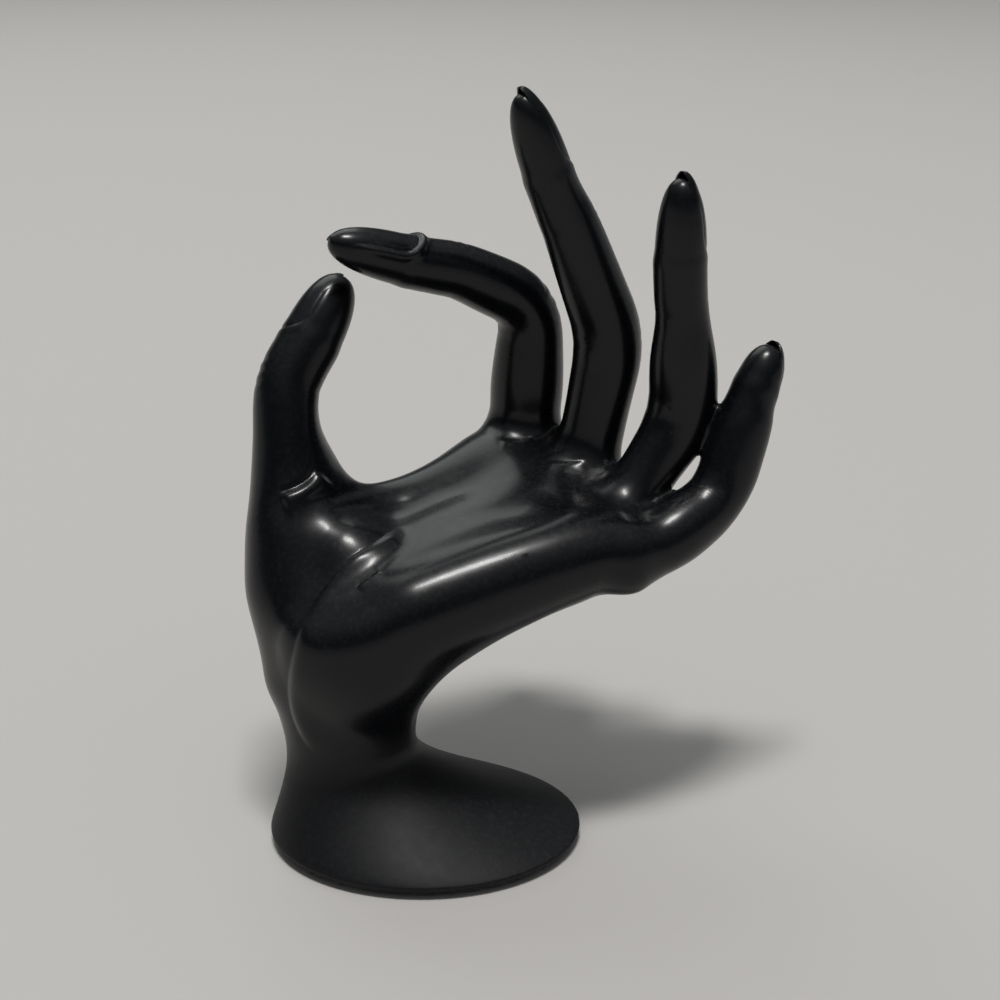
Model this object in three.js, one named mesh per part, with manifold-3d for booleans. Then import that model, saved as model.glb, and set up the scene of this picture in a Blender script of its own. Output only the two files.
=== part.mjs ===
// Hand jewelry holder: a cast resin left hand, palm up, with thumb and forefinger curled towards each
// other and the other fingers fanned, on a flared oval foot. Steel wires stiffen the slim fingers, a
// steel weight sits in a pocket of the foot under the hand, and a felt pad covers the underside.
// Millimetres and degrees, +Z up, +X to the hand's side, origin at the centre of the pad's underside.
import * as THREE from 'three';
import { mergeVertices } from 'three/addons/utils/BufferGeometryUtils.js';
import Module from 'manifold-3d';

// Foot and wrist
const PAD_THICKNESS = 1.5;
const PAD_INSET = 1.2;
const FOOT_LENGTH = 71;
const FOOT_DEPTH = 55;
const FOOT_RIM_TOP = 3;
const FLARE_TOP = 25.5;
const FLARE_KNEE = 1.2;
const FLARE_SWEEP = 2.3;
const WRIST_WIDTH = 28;
const WRIST_DEPTH = 25;
const WRIST_AXIS = [-17, 2.5];
const WRIST_HEIGHT = 47;
const WRIST_CROWN = 6;

// Weight in the foot
const WEIGHT_LENGTH = 37.4;
const WEIGHT_DEPTH = 27.4;
const WEIGHT_HEIGHT = 7;
const WEIGHT_CENTRE = [-8, 0];

// Wires
const WIRE_DIAMETER = 2;
const WIRE_PITCH = 3.6;
const WIRE_STAGGER = 3.2;
const WIRE_END_COVER = 11;

// Gaps between pieces that are glued or cast together
const GAP = 0.3;
const WIRE_CLEARANCE = 0.5;

// Posture of the hand: place of the carpus, and the turn, rise and roll of the palm
const HAND_ROOT = [-16, -2, WRIST_HEIGHT];
const HAND_TURN = 55.5;
const HAND_RISE = 16.5;
const HAND_ROLL = 5.3;

// Fingers. A knuckle is given by its reach from the carpus, its offset to the thumb side and its lift to
// the palm side. Bones run from knuckle to tip, each flexed from the one before. Radii are at the knuckle,
// the first bone's middle, the middle joint, the second bone's middle, the end joint and the pulp.
// The palm bar is the flesh over the metacarpal, from the carpus to just above the knuckle.
const FINGERS = {
  index: {
    knuckle: [68.5, 24.7, 4.7],
    bones: [40.5, 23.4, 32.5],
    flex: [72, 65, 14.5],
    splay: -9.3,
    twist: 5.5,
    bends: [9, 6],
    radii: [8.1, 9.2, 7.7, 7.5, 6.8, 6.2],
    bar: { start: [4, 9, -1], startRadius: 9.5, endLift: 2.7, endRadius: 9 },
  },
  middle: {
    knuckle: [71.2, 5.4, 2.3],
    bones: [38.5, 31, 34],
    flex: [63, 34, 4.5],
    splay: -7.5,
    twist: 6.6,
    bends: [8, 6],
    radii: [8.1, 7.9, 8.4, 7.8, 6.9, 5.9],
    bar: { start: [4, 3, 3.5], startRadius: 9.5, endLift: 3.2, endRadius: 8.7 },
  },
  ring: {
    knuckle: [66.5, -11.4, 1.7],
    bones: [31.6, 26.7, 32.4],
    flex: [35, 44.5, 3.4],
    splay: -3,
    twist: 2.9,
    bends: [8, 6],
    radii: [7.7, 7.1, 8.1, 8, 6.2, 6],
    bar: { start: [4, -4, 0], startRadius: 11.3, endLift: 1.2, endRadius: 7 },
  },
  little: {
    knuckle: [60.3, -25.8, 2.2],
    bones: [28.6, 19.6, 19],
    flex: [5.5, 47.5, -0.8],
    splay: -1,
    twist: 7.1,
    bends: [8, 6],
    radii: [6.5, 8, 7.1, 7.1, 6.6, 5.4],
    bar: { start: [14, -11, 9.5], startRadius: 5.3, endLift: 4, endRadius: 5 },
  },
};

// Thumb: its root joint beside the carpus, the swing of its metacarpal to the thumb side and up from the
// palm, then as a finger
const THUMB = {
  root: [-7.2, 11.3, -6.6],
  bones: [39.6, 27.4, 28.2],
  swing: 49.5,
  lift: 55,
  flex: [5.5, 33.5],
  twist: -12.8,
  bends: [8, 7],
  radii: [7.5, 11.7, 7.6, 7.9, 7.7, 7.3],
};

// Shape shared by the digits
const DIGIT_FLATNESS = 0.95;
const PULP_SHARE = 0.35;
const TIP_LIFT = 6;

// Flesh of the palm: its heel below the little finger, the fill of the hollow, the pads below the
// fingers, the ball of the thumb with its crest, the web and the end of the forearm's bone
const HEEL = { centre: [33, -14.4, 9.6], radii: [30, 8.2, 8.2], from: [0, -8, 4], to: [52, -22, 3] };
const HOLLOW = { centre: [26, 3, 7.6], radii: [28, 13, 8] };
const FINGER_PADS = { start: [58, 20, 5], startRadius: 7, end: [54, -12, 3.5], endRadius: 5.5 };
const THUMB_BALL = { share: 0.62, offset: [4.3, 2.3, -4.2], radii: [33, 12.3, 13.8] };
const THUMB_CREST = { start: [9.4, 17.2, 16], end: [12.6, 10.4, 13.4], radius: 9 };
const WEB = { share: 0.8, thumbRadius: 4.2, end: [54.2, 22.7, 8.3], endRadius: 5.2 };
const RADIUS_END = { height: 28, lean: 1, thumbRadius: 5, wristRadius: 6 };

// Ridges on the back of the hand that run out at the knuckles
const BACK_RIDGES = {
  index: { start: [18, 14.8, -3], startRadius: 5.5, endRadius: 7.6 },
  middle: { start: [18, 3.2, -3], startRadius: 5.5, endRadius: 7.6 },
};
const BACK_RIDGE_END = [-3, 0, -1];

// Width of the blends where forms run into each other
const BLEND = {
  wrist: 12,
  bars: 13,
  ridge: 6,
  heel: 8,
  thumbBall: 8,
  crest: 4,
  web: 9,
  digit: 5,
  beside: 2.5,
};

// Reach of a digit's blends: farther away it has no part in the shape
const DIGIT_REACH = 20;

// Fineness of the facets: the grid's cells, the blocks of cells that are tried first, and how far from a
// block's middle the surface must be for it to be left out
const CELL = 1.6;
const BLOCK = 4;
const BLOCK_REACH = 1.6 * BLOCK * CELL;
const SLOPE_PROBE = 0.03;
const LEAST_SLOPE_SQ = 0.05;
const LARGEST_MOVE = 0.5;

// Thinning of the skin where it is smooth, in rounds that reach the full tolerance
const THINNING = 0.1;
const THINNING_ROUNDS = [1 / 9, 1 / 3, 1];
const LONGEST_EDGE = 7;
const LEAST_FACING = 0.7;
const WELD = 1e-3;
const OVAL_SIDES = 40;
const WIRE_SIDES = 4;
const WIRE_STEPS = 26;
const BEND_STEPS = 6;

// Colours and finishes
const RESIN = { color: 0x08090b, roughness: 0.3, metalness: 0 };
const FELT = { color: 0x141414, roughness: 0.95, metalness: 0 };
const STEEL = { color: 0x8d9196, roughness: 0.45, metalness: 1 };
const WIRE = { color: 0xa4a7aa, roughness: 0.35, metalness: 1 };

const wasm = await Module();
wasm.setup();

const sin = (degrees) => Math.sin(THREE.MathUtils.degToRad(degrees));
const cos = (degrees) => Math.cos(THREE.MathUtils.degToRad(degrees));
const vector = (x, y, z) => new THREE.Vector3(x, y, z);
const mix = (a, b, share) => a + (b - a) * share;

// Sum of vectors, each with a factor: combine([2, a], [3, b])
function combine(...terms) {
  const total = vector(0, 0, 0);
  for (const [factor, term] of terms) total.addScaledVector(term, factor);
  return total;
}

// Axes of the hand: distal along the palm, radial to the thumb side, palmar out of the palm
function handAxes() {
  const distal = vector(
    sin(HAND_TURN) * cos(HAND_RISE),
    cos(HAND_TURN) * cos(HAND_RISE),
    sin(HAND_RISE),
  );
  const level = vector(-cos(HAND_TURN), sin(HAND_TURN), 0);
  const upright = distal.clone().cross(level);
  const radial = combine([cos(HAND_ROLL), level], [sin(HAND_ROLL), upright]);
  return { distal, radial, palmar: distal.clone().cross(radial) };
}

const HAND = handAxes();
const ROOT = vector(...HAND_ROOT);

// A point given in the hand's own axes
function inHand([reach, side, lift]) {
  return combine([1, ROOT], [reach, HAND.distal], [side, HAND.radial], [lift, HAND.palmar]);
}

// Joints of a chain of bones, each flexed from straight towards up by the running sum of the angles
function chain(start, straight, up, bones, flex) {
  const joints = [start];
  let angle = 0;
  bones.forEach((length, i) => {
    angle += flex[i];
    const bone = combine([length * cos(angle), straight], [length * sin(angle), up]);
    joints.push(joints[i].clone().add(bone));
  });
  return { joints, axis: straight.clone().cross(up).normalize() };
}

function fingerChain({ knuckle, bones, flex, splay, twist }) {
  const straight = combine([cos(splay), HAND.distal], [sin(splay), HAND.radial]);
  const side = combine([-sin(splay), HAND.distal], [cos(splay), HAND.radial]);
  const up = combine([cos(twist), HAND.palmar], [sin(twist), side]);
  return chain(inHand(knuckle), straight, up, bones, flex);
}

function thumbChain({ root, bones, swing, lift, flex, twist }) {
  const flat = combine([cos(swing), HAND.distal], [sin(swing), HAND.radial]);
  const straight = combine([cos(lift), flat], [sin(lift), HAND.palmar]);
  const along = HAND.distal.clone().addScaledVector(straight, -HAND.distal.dot(straight)).normalize();
  const across = straight.clone().cross(along);
  const up = combine([cos(twist), along], [sin(twist), across]);
  return chain(inHand(root), straight, up, bones, [0, ...flex]);
}

// Corner of a bent centre line, eased by a quadratic curve that starts and ends reach away from it
function easedCorner(before, corner, after, reach) {
  const start = corner.clone().add(before.clone().sub(corner).setLength(reach));
  const end = corner.clone().add(after.clone().sub(corner).setLength(reach));
  return new THREE.QuadraticBezierCurve3(start, corner, end);
}

// Smooth union of two distances
function blend(a, b, width) {
  const h = Math.max(width - Math.abs(a - b), 0) / width;
  return Math.min(a, b) - h * h * width * 0.25;
}

// Smooth intersection of two distances
const trim = (a, b, width) => -blend(-a, -b, width);

const scratch = vector(0, 0, 0);

// Near-distance to an ellipsoid from the coordinates along its axes; an ellipse has nothing along z
function ovalDistance(x, y, z, a, b, c) {
  const [u, v, w] = [x / a, y / b, z / c];
  const scale = Math.sqrt(u * u + v * v + w * w);
  const slope = Math.sqrt((u / a) ** 2 + (v / b) ** 2 + (w / c) ** 2);
  return (scale * (scale - 1)) / (slope + 1e-9);
}

// Solid ellipsoid
function ellipsoid(centre, [along, across, out], radii) {
  return (p) => {
    scratch.subVectors(p, centre);
    return ovalDistance(scratch.dot(along), scratch.dot(across), scratch.dot(out), ...radii);
  };
}

// Round bar that tapers from one end to the other
function bar(start, end, startRadius, endRadius) {
  const run = end.clone().sub(start);
  const lengthSq = run.lengthSq();
  return (p) => {
    scratch.subVectors(p, start);
    const share = THREE.MathUtils.clamp(scratch.dot(run) / lengthSq, 0, 1);
    return scratch.addScaledVector(run, -share).length() - mix(startRadius, endRadius, share);
  };
}

// Axes of an ellipsoid laid along a direction, flat to the palm
function fleshAxes(along) {
  const across = HAND.palmar.clone().cross(along).normalize();
  return [along, across, along.clone().cross(across)];
}

// A digit: a tube of varying radius along the eased bones, with an ellipsoid for the fingertip
class Digit {
  constructor({ joints, axis }, bends, radii) {
    const [knuckle, middle, end, tip] = joints;
    this.joints = joints;
    this.axis = axis;
    this.bends = bends;
    this.pulp = end.clone().lerp(tip, PULP_SHARE);
    const last = tip.clone().sub(end).normalize();
    const palmward = axis.clone().cross(last);
    const tipward = combine([cos(TIP_LIFT), last], [-sin(TIP_LIFT), palmward]);
    const pulpRadius = radii[radii.length - 1];
    const tipRadii = [tip.distanceTo(this.pulp), pulpRadius, pulpRadius * DIGIT_FLATNESS];
    this.tip = ellipsoid(this.pulp, [tipward, axis, tipward.clone().cross(axis)], tipRadii);

    const corners = [easedCorner(knuckle, middle, end, bends[0]), easedCorner(middle, end, tip, bends[1])];
    this.points = [knuckle, ...corners.flatMap((corner) => corner.getPoints(BEND_STEPS)), this.pulp];
    this.stations = [0];
    for (let i = 1; i < this.points.length; i += 1) {
      this.stations.push(this.stations[i - 1] + this.points[i].distanceTo(this.points[i - 1]));
    }
    this.placeRadii(radii);
    this.box = new THREE.Box3().setFromPoints([...this.points, tip]);
    this.box.expandByScalar(Math.max(...radii) + DIGIT_REACH);
  }

  // Radii stand at the joints, half way between them and at the pulp, with smooth slopes
  placeRadii(radii) {
    const middle = this.stations[1 + BEND_STEPS / 2];
    const end = this.stations[2 + BEND_STEPS + BEND_STEPS / 2];
    const last = this.stations[this.stations.length - 1];
    this.radii = radii;
    this.marks = [0, middle / 2, middle, (middle + end) / 2, end, last];
    this.slopes = radii.map((radius, i) => {
      if (i === 0 || i === radii.length - 1) return 0;
      const before = this.marks[i] - this.marks[i - 1];
      const after = this.marks[i + 1] - this.marks[i];
      const rise = (radius - radii[i - 1]) / before;
      const nextRise = (radii[i + 1] - radius) / after;
      return (rise * after + nextRise * before) / (before + after);
    });
  }

  radius(station) {
    let i = 0;
    while (i < this.marks.length - 2 && station > this.marks[i + 1]) i += 1;
    const span = this.marks[i + 1] - this.marks[i];
    const t = THREE.MathUtils.clamp((station - this.marks[i]) / span, 0, 1);
    const ease = t * t * (3 - 2 * t);
    const lean = this.slopes[i] * t * (1 - t) * (1 - t) - this.slopes[i + 1] * t * t * (1 - t);
    return mix(this.radii[i], this.radii[i + 1], ease) + span * lean;
  }

  distance(p) {
    if (!this.box.containsPoint(p)) return this.box.distanceToPoint(p) + DIGIT_REACH;
    let nearest = Infinity;
    let station = 0;
    const offset = vector(0, 0, 0);
    const line = vector(0, 0, 0);
    for (let i = 1; i < this.points.length; i += 1) {
      line.subVectors(this.points[i], this.points[i - 1]);
      scratch.subVectors(p, this.points[i - 1]);
      const share = THREE.MathUtils.clamp(scratch.dot(line) / line.lengthSq(), 0, 1);
      scratch.addScaledVector(line, -share);
      if (scratch.lengthSq() < nearest) {
        nearest = scratch.lengthSq();
        station = this.stations[i - 1] + share * line.length();
        offset.copy(scratch);
      }
    }
    const radius = this.radius(station);
    const sideways = offset.dot(this.axis);
    const outward = Math.sqrt(Math.max(nearest - sideways * sideways, 0));
    return Math.min(ovalDistance(sideways, outward, 0, radius, radius * DIGIT_FLATNESS, 1), this.tip(p));
  }
}

const digits = { thumb: new Digit(thumbChain(THUMB), THUMB.bends, THUMB.radii) };
for (const [name, finger] of Object.entries(FINGERS)) {
  digits[name] = new Digit(fingerChain(finger), finger.bends, finger.radii);
}

// Height share up the flare, and how much of the foot's outline is left there
function flareShare(z) {
  const height = THREE.MathUtils.clamp((z - FOOT_RIM_TOP) / (FLARE_TOP - FOOT_RIM_TOP), 0, 1);
  return (1 - height ** FLARE_KNEE) ** FLARE_SWEEP;
}

// Wrist and foot: an oval that slides and spreads from the wrist's to the foot's
function wristDistance(p) {
  const share = flareShare(p.z);
  const x = p.x - mix(WRIST_AXIS[0], 0, share);
  const y = p.y - mix(WRIST_AXIS[1], 0, share);
  const halfWidth = mix(WRIST_WIDTH, FOOT_LENGTH, share) / 2;
  const halfDepth = mix(WRIST_DEPTH, FOOT_DEPTH, share) / 2;
  const crown = WRIST_HEIGHT + WRIST_CROWN;
  return trim(ovalDistance(x, y, 0, halfWidth, halfDepth, 1), p.z - crown, WRIST_CROWN);
}

function palmForms() {
  const bars = Object.values(FINGERS).map(({ knuckle, bar: flesh }) => {
    const end = [knuckle[0], knuckle[1], knuckle[2] + flesh.endLift];
    return bar(inHand(flesh.start), inHand(end), flesh.startRadius, flesh.endRadius);
  });
  const ridges = Object.entries(BACK_RIDGES).map(([name, { start, startRadius, endRadius }]) => {
    const end = FINGERS[name].knuckle.map((place, i) => place + BACK_RIDGE_END[i]);
    return bar(inHand(start), inHand(end), startRadius, endRadius);
  });
  const heelward = inHand(HEEL.to).sub(inHand(HEEL.from)).normalize();
  const heel = ellipsoid(inHand(HEEL.centre), fleshAxes(heelward), HEEL.radii);
  const hollow = ellipsoid(inHand(HOLLOW.centre), fleshAxes(heelward), HOLLOW.radii);
  const padEnds = [inHand(FINGER_PADS.start), inHand(FINGER_PADS.end)];
  const fingerPads = bar(...padEnds, FINGER_PADS.startRadius, FINGER_PADS.endRadius);
  const [root, knuckle] = digits.thumb.joints;
  const wristEnd = vector(...WRIST_AXIS, 0);
  wristEnd.add(vector(root.x, root.y, 0).sub(wristEnd).setLength(RADIUS_END.lean)).setZ(RADIUS_END.height);
  ridges.push(bar(root, wristEnd, RADIUS_END.thumbRadius, RADIUS_END.wristRadius));
  const ballCentre = inHand(THUMB_BALL.offset).sub(ROOT).add(root.clone().lerp(knuckle, THUMB_BALL.share));
  const ballAxes = fleshAxes(knuckle.clone().sub(root).normalize());
  const thumbBall = ellipsoid(ballCentre, ballAxes, THUMB_BALL.radii);
  const crestEnds = [inHand(THUMB_CREST.start), inHand(THUMB_CREST.end)];
  const crest = bar(...crestEnds, THUMB_CREST.radius, THUMB_CREST.radius);
  const web = bar(root.clone().lerp(knuckle, WEB.share), inHand(WEB.end), WEB.thumbRadius, WEB.endRadius);
  return { bars, ridges, heel, hollow, fingerPads, thumbBall, crest, web };
}

const palm = palmForms();

function palmDistance(p) {
  const bars = palm.bars.map((form) => form(p)).reduce((a, b) => blend(a, b, BLEND.bars));
  const ridged = palm.ridges.reduce((all, form) => blend(all, form(p), BLEND.ridge), bars);
  const heeled = blend(ridged, palm.heel(p), BLEND.heel);
  const filled = blend(heeled, palm.hollow(p), BLEND.heel);
  return blend(filled, palm.fingerPads(p), BLEND.bars);
}

// Signed distance, roughly, to the whole hand: below zero inside
function handDistance(p) {
  const carpus = blend(wristDistance(p), palmDistance(p), BLEND.wrist);
  const ball = blend(palm.thumbBall(p), palm.crest(p), BLEND.crest);
  const balled = blend(carpus, ball, BLEND.thumbBall);
  const body = blend(balled, palm.web(p), BLEND.web);
  const grown = Object.values(digits).map((digit) => blend(body, digit.distance(p), BLEND.digit));
  return grown.reduce((all, form) => blend(all, form, BLEND.beside));
}

// Whether the corners in a cell's mask, and those outside it, each hang together along the cell's edges
function holdsOneSheet(mask) {
  return [mask, ~mask & 255].every((set) => {
    let reached = set & -set;
    for (let pass = 0; pass < 7; pass += 1) {
      for (let corner = 0; corner < 8; corner += 1) {
        const beside = (1 << (corner ^ 1)) | (1 << (corner ^ 2)) | (1 << (corner ^ 4));
        if (set & (1 << corner) && reached & beside) reached |= 1 << corner;
      }
    }
    return reached === set;
  });
}

const ONE_SHEET = Array.from({ length: 256 }, (_, mask) => holdsOneSheet(mask));

// Values of a field on a grid. A cell that two sheets of the surface would share is filled a little,
// so that the surface is closed and never meets itself.
class FieldGrid {
  constructor(field, box) {
    this.box = box;
    this.count = box.getSize(vector(0, 0, 0)).divideScalar(CELL).ceil().addScalar(1).toArray();
    this.strides = [1, this.count[0], this.count[0] * this.count[1]];
    this.values = new Float64Array(this.count[0] * this.count[1] * this.count[2]);
    this.sample(field);
    while (this.fillSharedCells() > 0);
  }

  // A block of points far from the surface takes the value at its middle
  sample(field) {
    const blocks = new Map();
    this.each(0, (i, j, k) => {
      const [x, y, z] = [i, j, k].map((place) => Math.floor(place / BLOCK));
      const block = this.index(x, y, z);
      if (!blocks.has(block)) {
        const middle = [x, y, z].map((place) => BLOCK * (place + 0.5) - 0.5);
        blocks.set(block, field(this.point(...middle)));
      }
      const rough = blocks.get(block);
      this.values[this.index(i, j, k)] = Math.abs(rough) > BLOCK_REACH ? rough : field(this.point(i, j, k));
    });
  }

  index(i, j, k) {
    return i + this.strides[1] * j + this.strides[2] * k;
  }

  point(i, j, k) {
    return vector(i, j, k).multiplyScalar(CELL).add(this.box.min);
  }

  // Visits every grid point, leaving out the last few along each axis
  each(margin, visit) {
    for (let k = 0; k < this.count[2] - margin; k += 1) {
      for (let j = 0; j < this.count[1] - margin; j += 1) {
        for (let i = 0; i < this.count[0] - margin; i += 1) visit(i, j, k);
      }
    }
  }

  corner(cell, corner) {
    const [x, y, z] = this.strides;
    return cell + (corner & 1) * x + ((corner >> 1) & 1) * y + ((corner >> 2) & 1) * z;
  }

  mask(cell) {
    let mask = 0;
    for (let corner = 0; corner < 8; corner += 1) {
      if (this.values[this.corner(cell, corner)] < 0) mask |= 1 << corner;
    }
    return mask;
  }

  fillSharedCells() {
    let filled = 0;
    this.each(1, (i, j, k) => {
      const cell = this.index(i, j, k);
      if (ONE_SHEET[this.mask(cell)]) return;
      const corners = Array.from({ length: 8 }, (_, corner) => this.corner(cell, corner));
      const outside = corners.filter((corner) => this.values[corner] >= 0);
      const nearest = outside.reduce((a, b) => (this.values[a] < this.values[b] ? a : b));
      this.values[nearest] = -WELD;
      filled += 1;
    });
    return filled;
  }

  // Mean of the points where the surface crosses a cell's edges
  crossing(i, j, k) {
    const cell = this.index(i, j, k);
    const mean = vector(0, 0, 0);
    let crossings = 0;
    for (let a = 0; a < 8; a += 1) {
      for (const bit of [1, 2, 4]) {
        const near = this.values[this.corner(cell, a)];
        const far = this.values[this.corner(cell, a | bit)];
        if (a & bit || near < 0 === far < 0) continue;
        const share = near / (near - far);
        mean.x += (a & 1) + (bit === 1 ? share : 0);
        mean.y += ((a >> 1) & 1) + (bit === 2 ? share : 0);
        mean.z += ((a >> 2) & 1) + (bit === 4 ? share : 0);
        crossings += 1;
      }
    }
    return mean.divideScalar(crossings).multiplyScalar(CELL).add(this.point(i, j, k));
  }
}

// Moves a point along the field's slope onto its zero level
function settle(field, point, passes) {
  for (let pass = 0; pass < passes; pass += 1) {
    const slope = ['x', 'y', 'z'].map((axis) => {
      const ahead = point.clone();
      const behind = point.clone();
      ahead[axis] += SLOPE_PROBE;
      behind[axis] -= SLOPE_PROBE;
      return (field(ahead) - field(behind)) / (2 * SLOPE_PROBE);
    });
    const gradient = vector(...slope);
    const move = gradient.multiplyScalar(-field(point) / Math.max(gradient.lengthSq(), LEAST_SLOPE_SQ));
    point.add(move.clampLength(0, LARGEST_MOVE));
  }
  return point;
}

// Squared distance to a set of planes, summed, as the ten terms of a quadratic form and a count
function planeForm(a, b, c) {
  const plane = new THREE.Plane().setFromCoplanarPoints(a, b, c);
  const { x, y, z } = plane.normal;
  const w = plane.constant;
  return [x * x, y * y, z * z, w * w, x * y, x * z, y * z, x * w, y * w, z * w, 1];
}

const joinForms = (first, second) => first.map((term, i) => term + second[i]);

function meanSquare([xx, yy, zz, ww, xy, xz, yz, xw, yw, zw, count], { x, y, z }) {
  const squares = xx * x * x + yy * y * y + zz * z * z + ww;
  const products = xy * x * y + xz * x * z + yz * y * z + xw * x + yw * y + zw * z;
  return (squares + 2 * products) / count;
}

// A closed skin that can be thinned where it is smooth: two neighbouring corners become one, half way
// between them, if that point stays close to the planes of all the faces that it stands for
class Skin {
  constructor(points, faces) {
    this.points = points;
    this.faces = faces;
    this.rings = points.map(() => new Set());
    this.forms = points.map(() => new Array(11).fill(0));
    faces.forEach((face, f) => {
      const form = planeForm(...face.map((i) => points[i]));
      for (const i of face) {
        this.rings[i].add(f);
        this.forms[i] = joinForms(this.forms[i], form);
      }
    });
  }

  neighbours(i) {
    const found = new Set();
    for (const f of this.rings[i]) for (const j of this.faces[f]) found.add(j);
    found.delete(i);
    return found;
  }

  // Whether the faces round a corner keep their outward side and stay small when it moves
  canMove(i, other, target) {
    return [...this.rings[i]].every((f) => {
      const face = this.faces[f];
      if (face.includes(other)) return true;
      const before = new THREE.Triangle(...face.map((j) => this.points[j]));
      const after = new THREE.Triangle(...face.map((j) => (j === i ? target : this.points[j])));
      const turn = before.getNormal(vector(0, 0, 0)).dot(after.getNormal(vector(0, 0, 0)));
      const longest = Math.max(...face.map((j) => this.points[j].distanceTo(target)));
      return turn > LEAST_FACING && longest < LONGEST_EDGE;
    });
  }

  merge(a, b, limit) {
    const form = joinForms(this.forms[a], this.forms[b]);
    const middle = this.points[a].clone().lerp(this.points[b], 0.5);
    if (meanSquare(form, middle) > limit * limit) return false;
    const near = this.neighbours(b);
    const shared = [...this.neighbours(a)].filter((i) => near.has(i));
    if (shared.length !== 2 || !this.canMove(a, b, middle) || !this.canMove(b, a, middle)) return false;
    this.points[a] = middle;
    this.forms[a] = form;
    for (const f of this.rings[b]) {
      const face = this.faces[f];
      if (face.includes(a)) {
        for (const i of face) this.rings[i].delete(f);
        this.faces[f] = null;
      } else {
        this.faces[f] = face.map((i) => (i === b ? a : i));
        this.rings[a].add(f);
      }
    }
    this.rings[b].clear();
    return true;
  }

  thin() {
    for (const round of THINNING_ROUNDS) {
      for (let a = 0; a < this.points.length; a += 1) {
        for (const b of this.neighbours(a)) {
          if (this.rings[a].size > 0 && this.rings[b].size > 0 && this.merge(a, b, round * THINNING)) break;
        }
      }
    }
    return this;
  }

  geometry() {
    const geometry = new THREE.BufferGeometry();
    const places = this.points.flatMap((p) => p.toArray());
    geometry.setAttribute('position', new THREE.Float32BufferAttribute(places, 3));
    geometry.setIndex(this.faces.filter((face) => face !== null).flat());
    return geometry;
  }
}

// Closed faceted skin of a field: one corner in each cell that the surface crosses, and one quad, split
// along its shorter diagonal, for each grid edge that it crosses; then thinned
function skin(field, box) {
  const grid = new FieldGrid(field, box);
  const cornerOf = new Map();
  const points = [];
  grid.each(1, (i, j, k) => {
    const mask = grid.mask(grid.index(i, j, k));
    if (mask === 0 || mask === 255) return;
    cornerOf.set(grid.index(i, j, k), points.length);
    points.push(settle(field, grid.crossing(i, j, k), 1));
  });
  const faces = [];
  grid.each(1, (i, j, k) => {
    const from = grid.index(i, j, k);
    for (let axis = 0; axis < 3; axis += 1) {
      const inside = grid.values[from] < 0;
      if (inside === grid.values[from + grid.strides[axis]] < 0) continue;
      const u = grid.strides[(axis + 1) % 3];
      const v = grid.strides[(axis + 2) % 3];
      const quad = [from - u - v, from - v, from, from - u].map((cell) => cornerOf.get(cell));
      if (!inside) quad.reverse();
      const [a, b, c, d] = quad;
      const across = points[a].distanceTo(points[c]) < points[b].distanceTo(points[d]);
      faces.push(...(across ? [[a, b, c], [a, c, d]] : [[a, b, d], [b, c, d]]));
    }
  });
  const thinned = new Skin(points, faces).thin();
  thinned.points.forEach((point, i) => {
    if (thinned.rings[i].size > 0) settle(field, point, 2);
  });
  return thinned.geometry();
}

// Solid of a closed geometry, ready to be cut
function solidOf(geometry) {
  const bare = geometry.clone();
  bare.deleteAttribute('normal');
  bare.deleteAttribute('uv');
  const merged = mergeVertices(bare, WELD);
  const vertProperties = new Float32Array(merged.attributes.position.array);
  const triVerts = new Uint32Array(merged.index.array);
  return new wasm.Manifold(new wasm.Mesh({ numProp: 3, vertProperties, triVerts }));
}

function geometryOf(solid) {
  const { vertProperties, triVerts } = solid.getMesh();
  const geometry = new THREE.BufferGeometry();
  geometry.setAttribute('position', new THREE.Float32BufferAttribute(vertProperties, 3));
  geometry.setIndex([...triVerts]);
  geometry.computeVertexNormals();
  return geometry;
}

// Upright oval slab, with its underside at a height
function ovalSlab(length, depth, height, centre, underside) {
  const outline = new THREE.Shape().absellipse(0, 0, length / 2, depth / 2, 0, 2 * Math.PI);
  const settings = { depth: height, curveSegments: OVAL_SIDES, bevelEnabled: false };
  return new THREE.ExtrudeGeometry(outline, settings).translate(centre[0], centre[1], underside);
}

// Round rod along a route
function rod(route, diameter) {
  const outline = new THREE.Shape().absarc(0, 0, diameter / 2, 0, 2 * Math.PI);
  const settings = { steps: WIRE_STEPS, curveSegments: WIRE_SIDES, extrudePath: route };
  return new THREE.ExtrudeGeometry(outline, settings);
}

const POCKET_TOP = PAD_THICKNESS + WEIGHT_HEIGHT + 2 * GAP;

// Route of a wire: up the wrist at its own place in the bundle, over to the digit's first joint, and
// along the bones to just short of the tip. The bundle is a zigzag row, in the order of the digits.
function wireRoute(name, place, foot, endCover) {
  const digit = digits[name];
  const [first, second, third, tip] = digit.joints;
  const back = vector(HAND.distal.x, HAND.distal.y, 0).normalize();
  const across = vector(HAND.radial.x, HAND.radial.y, 0).normalize();
  const low = vector(...WRIST_AXIS, foot)
    .addScaledVector(across, place * WIRE_PITCH)
    .addScaledVector(back, (place % 2) * WIRE_STAGGER);
  const end = tip.clone().sub(tip.clone().sub(third).setLength(endCover));
  const turns = [first, second, third];
  const reaches = [digit.bends[0], ...digit.bends];
  if (name !== 'thumb') {
    turns.unshift(vector(low.x, low.y, WRIST_HEIGHT));
    reaches.unshift(WRIST_WIDTH / 2);
  }
  const route = new THREE.CurvePath();
  let from = low;
  turns.forEach((corner, i) => {
    const before = i === 0 ? low : turns[i - 1];
    const after = i === turns.length - 1 ? end : turns[i + 1];
    const curve = easedCorner(before, corner, after, reaches[i]);
    route.add(new THREE.LineCurve3(from, curve.v0));
    route.add(curve);
    from = curve.v2;
  });
  route.add(new THREE.LineCurve3(from, end));
  return route;
}

const BUNDLE = { thumb: 2, index: 1, middle: 0, ring: -1, little: -2 };

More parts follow.
